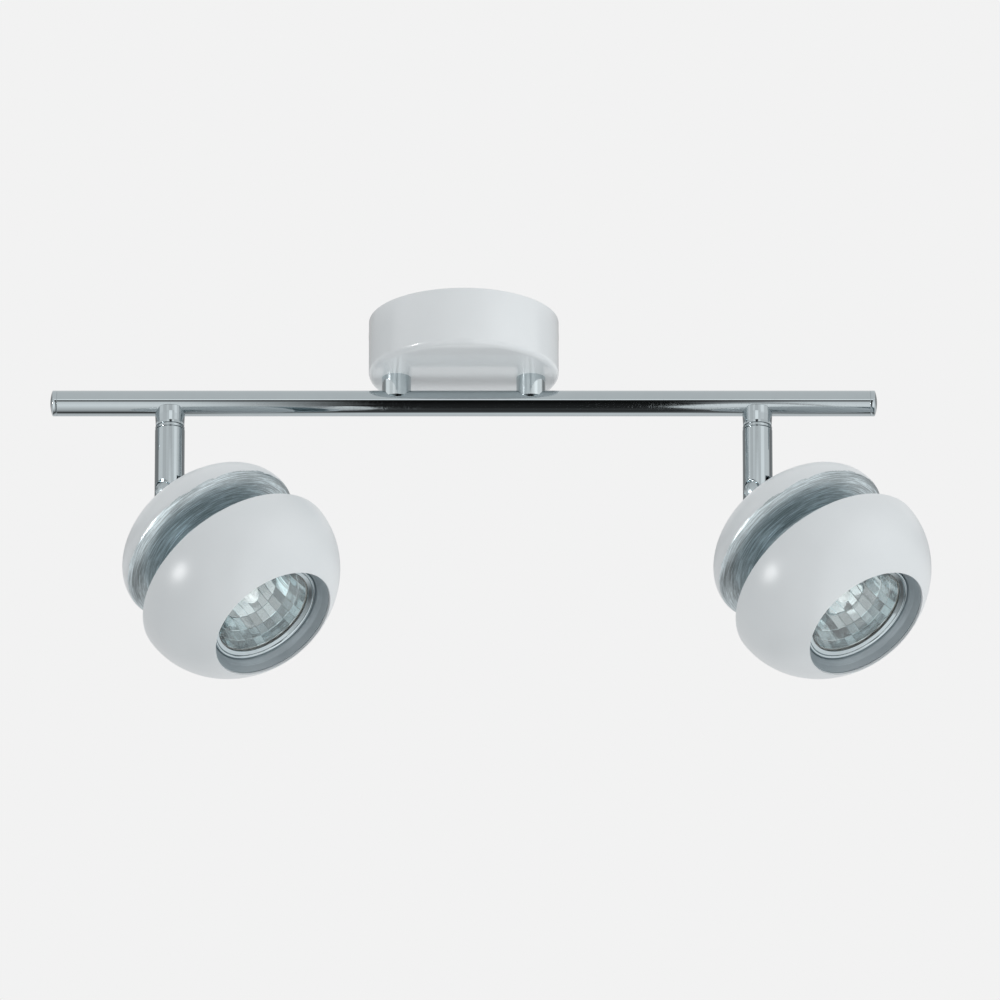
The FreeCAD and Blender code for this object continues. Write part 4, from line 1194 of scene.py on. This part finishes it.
@dataclass
class Lamp:
    """The reflector lamp in one head."""

    head: Head
    glass_radius: float = 23.9
    glass_thickness: float = 1.3
    glass_recess: float = 0.3
    ledge: float = 0.6
    wall: float = 1.7
    depth: float = 23.0
    neck: float = 8.0
    bowl_rows: int = 12
    mirror_aside: float = 0.3
    mirror_rise: float = 0.05
    mirror_foot: float = 0.1
    facets: int = 32
    rows: int = 7
    rows_inset: float = 0.16
    rows_rise: float = 0.14
    facet_lean: float = 0.036
    # Power on each facet's random painted reflection shade, which leaves most facets darker
    shade_power: float = 1.4
    capsule_radius: float = 4.6
    capsule_length: float = 17.5
    capsule_wall: float = 0.9
    capsule_floor: float = 1.2
    filament_radius: float = 0.9
    filament_wire: float = 0.16
    filament_turns: int = 7
    filament_steps: int = 16
    filament_pitch: float = 0.72
    filament_start: float = 5.0
    wire_radius: float = 0.3
    wire_length: float = 8.0
    wire_aside: float = 1.6
    wire_middle: float = 5.3

    @property
    def top(self) -> float:
        """Height of the reflector's mouth, under the front glass."""
        return self.head.lamp_face - self.glass_recess - self.glass_thickness

    @property
    def base(self) -> float:
        """Height of the reflector's foot."""
        return self.top - self.depth

    @property
    def mouth(self) -> float:
        """Radius of the reflector's mouth."""
        return self.glass_radius - self.ledge

    def build(self) -> None:
        """Builds and dresses the lamp's pieces."""
        self.bowl()
        self.mirror()
        self.front_glass()
        self.capsule()
        self.filament()
        dressed(CERAMIC, ["lamp_base"], f"{self.head.side.word}_")
        dressed(ZINC, ["lamp_pins"], f"{self.head.side.word}_")

    def parabola(self, radius: float) -> float:
        """Height of the mirror at a radius."""
        share = (radius ** 2 - self.neck ** 2) / (self.mouth ** 2 - self.neck ** 2)
        return self.base + share * self.depth

    def bowl(self) -> None:
        """The pressed glass bowl and rim behind the mirror."""
        head, rows = self.head, self.bowl_rows
        face, rim_back = head.lamp_face, head.lamp_face - head.rim_thickness
        back = self.base - self.wall
        outer_neck, outer = self.neck + self.wall, self.mouth + self.wall / 2
        seat = self.glass_radius + head.fit
        outline = Outline().to(0, back).to(outer_neck, back, 0.4)
        for step in range(1, rows):
            radius = outer_neck + (outer - outer_neck) * step / rows
            share = (radius ** 2 - outer_neck ** 2) / (outer ** 2 - outer_neck ** 2)
            outline.to(radius, back + share * (rim_back - back))
        outline.to(outer, rim_back).to(head.rim_radius, rim_back, 0.3).to(head.rim_radius, face, 0.3)
        outline.to(seat, face, 0.15).to(seat, self.top)
        for step in range(rows, -1, -1):
            radius = self.neck + (self.mouth - self.neck) * step / rows
            outline.to(radius + self.mirror_aside, self.parabola(radius) - self.mirror_rise)
        outline.to(0, self.base - self.mirror_foot)
        head.piece(outline.turned(96), "lamp_bowl", SHELL_GLASS, "lamp_reflector")

    def mirror(self) -> None:
        """The faceted mirror: rows of pressed cushions on a parabola."""
        work = bmesh.new()
        radii = [self.neck + (self.mouth - self.neck) * row / self.rows for row in range(self.rows + 1)]
        spun(work, [(radius, self.parabola(radius)) for radius in radii], self.facets, closed=False)
        if min(work.faces, key=lambda f: f.calc_center_median().z).normal.z < 0:
            bmesh.ops.reverse_faces(work, faces=work.faces)
        facets = self.paint_facet_reflections(work)
        bmesh.ops.inset_individual(work, faces=facets, thickness=self.rows_inset * MM,
                                   depth=self.rows_rise * MM, use_even_offset=True)
        draw = random.Random(self.rows)
        for face in facets:
            lean, turn = (draw.uniform(-self.facet_lean, self.facet_lean) * MM for _ in range(2))
            normal = face.normal.copy()
            for vert, shift in zip(face.verts, (lean + turn, lean - turn, -lean - turn, turn - lean)):
                vert.co += normal * shift
        self.head.piece(work, "lamp_mirror", MIRROR)

    def paint_facet_reflections(self, work: BMesh) -> list[BMFace]:
        """Writes each facet's painted shade, a stand-in for how much its facet reflects, which its cushion then keeps.

        Args:
            work: the mirror's bmesh.

        Returns:
            The facets in order.
        """
        layer = work.faces.layers.float.new(FACET)
        draw = random.Random(self.facets)
        facets = sorted(work.faces, key=facet_order)
        for face in facets:
            # Painted reflection: a random shade for each facet
            face[layer] = draw.random() ** self.shade_power
        return facets

    def front_glass(self) -> None:
        """The clear front glass with an eased edge."""
        base, top, radius = self.top, self.top + self.glass_thickness, self.glass_radius
        outline = Outline().to(0, base).to(radius, base, 0.25).to(radius, top, 0.25).to(0, top)
        self.head.piece(outline.turned(96), "front_glass", GLASS, "lamp_glass")

    def capsule(self) -> None:
        """The bulb's glass tube with its rounded tip."""
        floor, tip = self.base + self.capsule_floor, self.base + self.capsule_length
        radius, inner = self.capsule_radius, self.capsule_radius - self.capsule_wall
        centre = (0, tip - radius)
        outline = Outline().to(0, self.base).to(radius, self.base).bend(centre, radius, 0, 90, 14)
        outline.to(0, tip - self.capsule_wall).bend(centre, inner, 90, 0, 12, skip=1).to(inner, floor).to(0, floor)
        self.head.piece(outline.turned(64), "bulb", BULB_GLASS, "lamp_capsule")

    def filament(self) -> None:
        """The coiled filament between its two support wires."""
        work = bmesh.new()
        ring = bmesh.ops.create_circle(work, segments=8, radius=self.filament_wire * MM)["verts"]
        bmesh.ops.rotate(work, verts=ring, cent=(0, 0, 0), matrix=Matrix.Rotation(math.pi / 2, 3, "X"))
        start = Vector((self.filament_radius, 0, self.base + self.filament_start)) * MM
        bmesh.ops.translate(work, verts=ring, vec=start)
        bmesh.ops.spin(work, geom=list(work.verts) + list(work.edges), axis=(0, 0, 1), cent=(0, 0, 0),
                       dvec=(0, 0, self.filament_pitch / self.filament_steps * MM),
                       angle=math.tau * self.filament_turns, steps=self.filament_steps * self.filament_turns)
        for sign in (-1, 1):
            rod = bmesh.ops.create_cone(work, cap_ends=True, segments=10, radius1=self.wire_radius * MM,
                                        radius2=self.wire_radius * MM, depth=self.wire_length * MM)["verts"]
            middle = Vector((sign * self.wire_aside, 0, self.base + self.wire_middle)) * MM
            bmesh.ops.translate(work, verts=rod, vec=middle)
        bmesh.ops.recalc_face_normals(work, faces=work.faces)
        self.head.piece(work, "filament", TUNGSTEN)


@dataclass(frozen=True)
class Cloth(Finish):
    """Cloth of a reflection card, which glows by its own tone so that its lighting doesn't matter."""

    slot: str = "washer_plastic"
    colour: Colour = (0.0, 0.0, 0.0)

    def dress(self, tree: Surface) -> None:
        """Black surface under the card's tone, clear where the card fades out.

        Args:
            tree: the material's tree.
        """
        tone, cover = self.tones(tree)
        tree.shade({"Base Color": grey(0.0), "Specular IOR Level": 0.0, "Alpha": cover, "Emission Color": tone,
                    "Emission Strength": CARD_GLOW})

    def tones(self, tree: Surface) -> tuple[Value, Value | float]:
        """The card's tone and how much of it covers, from its own coordinates."""
        raise NotImplementedError


@dataclass(frozen=True)
class PatchCloth(Cloth):
    """Dark and light patches."""

    patch: float = 3.4
    dark: float = 0.3
    light: float = 1.6

    def tones(self, tree: Surface) -> tuple[Value, float]:
        """Voronoi cells, each dark or light.

        Args:
            tree: the material's tree.

        Returns:
            The tone, and a full cover.
        """
        inputs = {"Vector": tree.where, "Scale": self.patch}
        cells = tree.value("TexVoronoi", inputs, "Color", feature="F1")
        return tree.ramp(tree.value("SeparateColor", {0: cells}), ((0.3, self.dark), (0.7, self.light))), 1.0


@dataclass(frozen=True)
class RingCloth(Cloth):
    """Tones round the upright stems, by azimuth in degrees, and the cover by elevation."""

    stops: tuple[Point, ...] = ()
    edges: tuple[Point, ...] = ((13.0, 0.0), (17.0, CARD_GLOW), (25.0, CARD_GLOW), (29.0, 0.0))

    def tones(self, tree: Surface) -> tuple[Value, Value]:
        """A ramp over the azimuth, fading out at the card's upper and lower edge.

        Args:
            tree: the material's tree.

        Returns:
            The tone and the cover.
        """
        x, y, z = tree.split(tree.where)
        reach = tree.value("VectorMath", {0: tree.vector(x, y)}, "Value", operation="LENGTH")
        return tree.ramp(tree.angle(x, y * -1.0), self.stops), tree.ramp(tree.angle(z, reach), self.edges)


@dataclass(frozen=True)
class TroughCloth(Cloth):
    """Tones round the level bar: by elevation in degrees, dark in the middle and light to its ends."""

    side: tuple[Point, ...] = ()
    middle: tuple[Point, ...] = ()
    far: tuple[Point, ...] = ()
    edges: tuple[Point, ...] = ((-150.0, 0.0), (-128.0, CARD_GLOW), (24.0, CARD_GLOW), (30.0, 0.0))
    far_from: Point = (0.24, 0.32)
    left: Point = (-0.16, -0.06)
    right: Point = (0.12, 0.19)
    # Two light lenses in the dark: middle and half length along the bar, middle and half height in degrees
    lenses: tuple[tuple[float, float, float, float], ...] = ((0.1546, 0.046, -52.0, 34.0), (-0.067, 0.017, -66.0, 22.0))

    def tones(self, tree: Surface) -> tuple[Value, Value]:
        """The side's and the middle's ramps, mixed by the place along the bar, with the light lenses.

        Args:
            tree: the material's tree.

        Returns:
            The tone and the cover.
        """
        along, y, z = tree.split(tree.where)
        raw = tree.angle(z, y * -1.0)
        height = raw - tree.math("GREATER_THAN", raw, 90.0) * 360.0
        stir = tree.noise(tree.vector(along * 14.0, height * 0.09), 1.0)
        moved = along + (stir - 0.5) * 0.07
        dark = tree.ranged(moved, self.left, (0.0, 1.0)) * tree.ranged(moved, self.right, (1.0, 0.0))
        for centre, half, level, rise in self.lenses:
            run = (along - centre) / half
            off = tree.math("ABSOLUTE", (height - level) / rise)
            inside = 1.0 - run * run - off
            rim = tree.ranged(inside, (-0.45, 0.0), (0.0, 0.75)) * tree.ranged(inside, (0.0, 0.1), (1.0, 0.0))
            dark = tree.math("MAXIMUM", dark, rim) * tree.ranged(inside, (0.0, 0.12), (1.0, 0.0))
        near = tree.mix(dark, tree.ramp(height, self.side), tree.ramp(height, self.middle))
        away = tree.ranged(tree.math("ABSOLUTE", along), self.far_from, (0.0, 1.0))
        return tree.mix(away, near, tree.ramp(height, self.far)), tree.ramp(height, self.edges)


class Bend(Enum):
    """How a reflection card is bent."""

    FLAT = "flat"
    RING = "ring"
    TROUGH = "trough"


def aim_at(azimuth: float, elevation: float) -> Vector:
    """Direction from the bar at an azimuth and an elevation in degrees."""
    across, up = math.radians(azimuth), math.radians(elevation)
    return Vector((math.sin(across) * math.cos(up), -math.cos(across) * math.cos(up), math.sin(up)))


@dataclass(frozen=True)
class Card:
    """A reflection card, flat or bent round the bar or the stems, seen by polished metal or through lamp glass."""

    name: str
    cloth: Cloth
    bend: Bend = Bend.FLAT
    azimuth: float = 0.0
    elevation: float = 0.0
    distance: float = 1.5
    width: float = 1.0
    reach: Point = (0.0, 0.0)
    through: bool = False

    def build(self, target: Vector) -> Object:
        """Builds the card facing the target.

        Args:
            target: the point that the card faces or bends round.

        Returns:
            The card's object.
        """
        work = bmesh.new()
        place = Matrix.Translation(target)
        if self.bend is Bend.FLAT:
            bmesh.ops.create_grid(work, x_segments=2, y_segments=2, size=self.width / 2)
            across = math.radians(self.azimuth)
            aim, side = aim_at(self.azimuth, self.elevation), Vector((math.cos(across), math.sin(across), 0))
            turn = Matrix((side, aim.cross(side), aim)).transposed().to_4x4()
            place = Matrix.Translation(target + aim * self.distance) @ turn
        else:
            self.bent(work)
        card = meshed(work, self.name, self.cloth)
        card.matrix_world = place
        card.visible_camera = card.visible_diffuse = card.visible_shadow = False
        card.visible_glossy, card.visible_transmission = not self.through, self.through
        return card

    def bent(self, work: BMesh) -> None:
        """Spins a straight edge round the bar's axis, or round the upright axis between the stems.

        Args:
            work: the bmesh that takes the faces.
        """
        low, high = (math.radians(a) for a in self.reach)
        if self.bend is Bend.TROUGH:
            ends = [(x, -self.distance * math.cos(low), self.distance * math.sin(low))
                    for x in (-self.width / 2, self.width / 2)]
            axis, sweep = (-1, 0, 0), high - low
        else:
            ends = [(0, self.distance, self.distance * math.tan(a)) for a in (low, high)]
            axis, sweep = (0, 0, 1), math.tau
        verts = [work.verts.new(end) for end in ends]
        edge = work.edges.new(verts)
        bmesh.ops.spin(work, geom=verts + [edge], axis=axis, cent=(0, 0, 0), angle=sweep, steps=96)


@dataclass(frozen=True)
class Panel:
    """A soft lamp. Angles in degrees seen from the bar, lengths in metres."""

    name: str
    azimuth: float
    elevation: float
    distance: float
    size: float
    power: float
    gloss_only: bool = False

    def build(self, target: Vector) -> None:
        """Builds the lamp.

        Args:
            target: the point that it faces.
        """
        data = bpy.data.lights.new(self.name, "AREA")
        data.shape = "DISK" if self.gloss_only else "SQUARE"
        data.size, data.energy = self.size, self.power
        lamp = shown(self.name, data)
        aim = aim_at(self.azimuth, self.elevation)
        lamp.location = target + aim * self.distance
        lamp.rotation_euler = (-aim).to_track_quat("-Z", "Y").to_euler()
        lamp.visible_glossy = lamp.visible_transmission = self.gloss_only
        lamp.visible_diffuse = not self.gloss_only
        lamp.visible_camera = False


@dataclass
class Studio:
    """Pale floor, soft lamps, reflection cards and the camera. Floor in metres, camera in millimetres."""

    backdrop: float = 0.888
    ambient: float = 0.55
    ambient_blue: float = 1.01
    floor_size: float = 20.0
    floor_drop: float = 3.4
    lens: float = 540.0
    distance: float = 6945.0
    elevation: float = -21.0
    across: float = 16.8
    above: float = 44.68
    panels: tuple[Panel, ...] = (
        Panel("key", 55, 20, 2.9, 2.2, 29.0),
        Panel("left_strip", -75, 38, 2.8, 1.2, 15.5),
        Panel("fill", 46, -62, 2.9, 2.2, 24.0),
        Panel("glint", -60, -11, 3.0, 0.55, 32.0, gloss_only=True),
    )
    cards: tuple[Card, ...] = (
        Card("trough", TroughCloth("trough_cloth", side=(
            (-150, 0.9), (-133, 0.85), (-124, 0.5), (-117, 0.15), (-106, 0.03), (-99, 0.3), (-93, 0.5), (-83, 0.69),
            (-73, 0.83), (-62, 0.97), (-50, 1.15), (-36, 1.28), (-22, 1.15), (-12, 1.15), (-5, 0.6), (0, 0.18),
            (8, 0.25), (13, 1.5), (18.6, 1.35), (20.6, 0.82), (29, 0.8)), middle=(
            (-150, 1.05), (-131, 1.1), (-120, 1.0), (-113, 0.6), (-108, 0.2), (-100, 0.07), (-90, 0.05), (-72, 0.07),
            (-60, 0.03), (-30, 0.02), (-4, 0.005), (4, 0.02), (9, 0.12), (13, 1.5), (18.6, 1.35), (20.6, 0.82),
            (29, 0.8)), far=(
            (-150, 0.1), (-112, 0.15), (-92, 0.6), (-72, 1.1), (-50, 1.4), (-30, 1.55), (0, 1.2), (20, 0.9),
            (29, 1.3))), Bend.TROUGH, distance=1.4, width=1.5, reach=(-150.0, 30.0)),
        Card("ring", RingCloth("ring_cloth", stops=(
            (-180, 0.5), (-155, 0.33), (-100, 0.32), (-88, 1.05), (-60, 1.05), (-54, 0.85), (18, 0.8), (27, 1.3),
            (50, 1.35), (58, 1.0), (92, 1.0), (108, 0.25), (155, 0.4), (180, 0.5))), Bend.RING, distance=2.0,
            reach=(11.0, 31.0)),
        Card("lamp_patches", PatchCloth("patch_cloth"), Bend.FLAT, 32, -50, 1.3, 1.6, through=True),
    )

    def build(self) -> None:
        """Sets up the world, floor, lamps, cards and camera."""
        self.world()
        self.floor()
        target = Vector((0, 0, -LAYOUT.bar_drop * MM))
        for panel in self.panels:
            panel.build(target)
        [card.build(target) for card in self.cards]
        self.camera(target)
        bpy.context.scene.view_settings.view_transform = "Standard"

    def world(self) -> None:
        """Even surround: the backdrop's tone where it is seen, a lower light elsewhere."""
        world = bpy.data.worlds.new("surround")
        bpy.context.scene.world = world
        world.use_nodes = True
        world.node_tree.nodes.clear()
        tree = Tree(world.node_tree)
        dim = (self.ambient, self.ambient, self.ambient * self.ambient_blue, 1.0)
        colour = tree.mix(tree.seen(), dim, grey(self.backdrop))
        tree.add("OutputWorld", {0: tree.value("Background", {"Color": colour})})

    def floor(self) -> None:
        """The plain pale floor, far under the fitting."""
        work = bmesh.new()
        bmesh.ops.create_grid(work, x_segments=1, y_segments=1, size=self.floor_size)
        floor = meshed(work, "floor", FLOOR_PAINT)
        floor.location.z = -self.floor_drop

    def camera(self, target: Vector) -> None:
        """The camera below the bar, looking up along +Y.

        Args:
            target: the middle of the bar.
        """
        lean = math.radians(self.elevation)
        ahead = Vector((0, math.cos(lean), -math.sin(lean)))
        up = Vector((0, math.sin(lean), math.cos(lean)))
        data = bpy.data.cameras.new("camera")
        data.lens, data.sensor_width = self.lens, 36.0
        data.clip_start, data.clip_end = 0.05, 100.0
        camera = shown("camera", data)
        camera.location = target + (Vector((self.across, 0, 0)) - ahead * self.distance - up * self.above) * MM
        camera.rotation_mode = "QUATERNION"
        camera.rotation_quaternion = ahead.to_track_quat("-Z", "Y")
        bpy.context.scene.camera = camera


def main() -> None:
    """Builds the fitting's sub-assemblies in order, then the studio."""
    logging.basicConfig(level=logging.INFO, format="%(name)s: %(message)s")
    Canopy().build()
    Bar().build()
    for side in Side:
        Stem(side).build()
        Head(side).build()
    Studio().build()


if __name__ == "__main__":
    main()
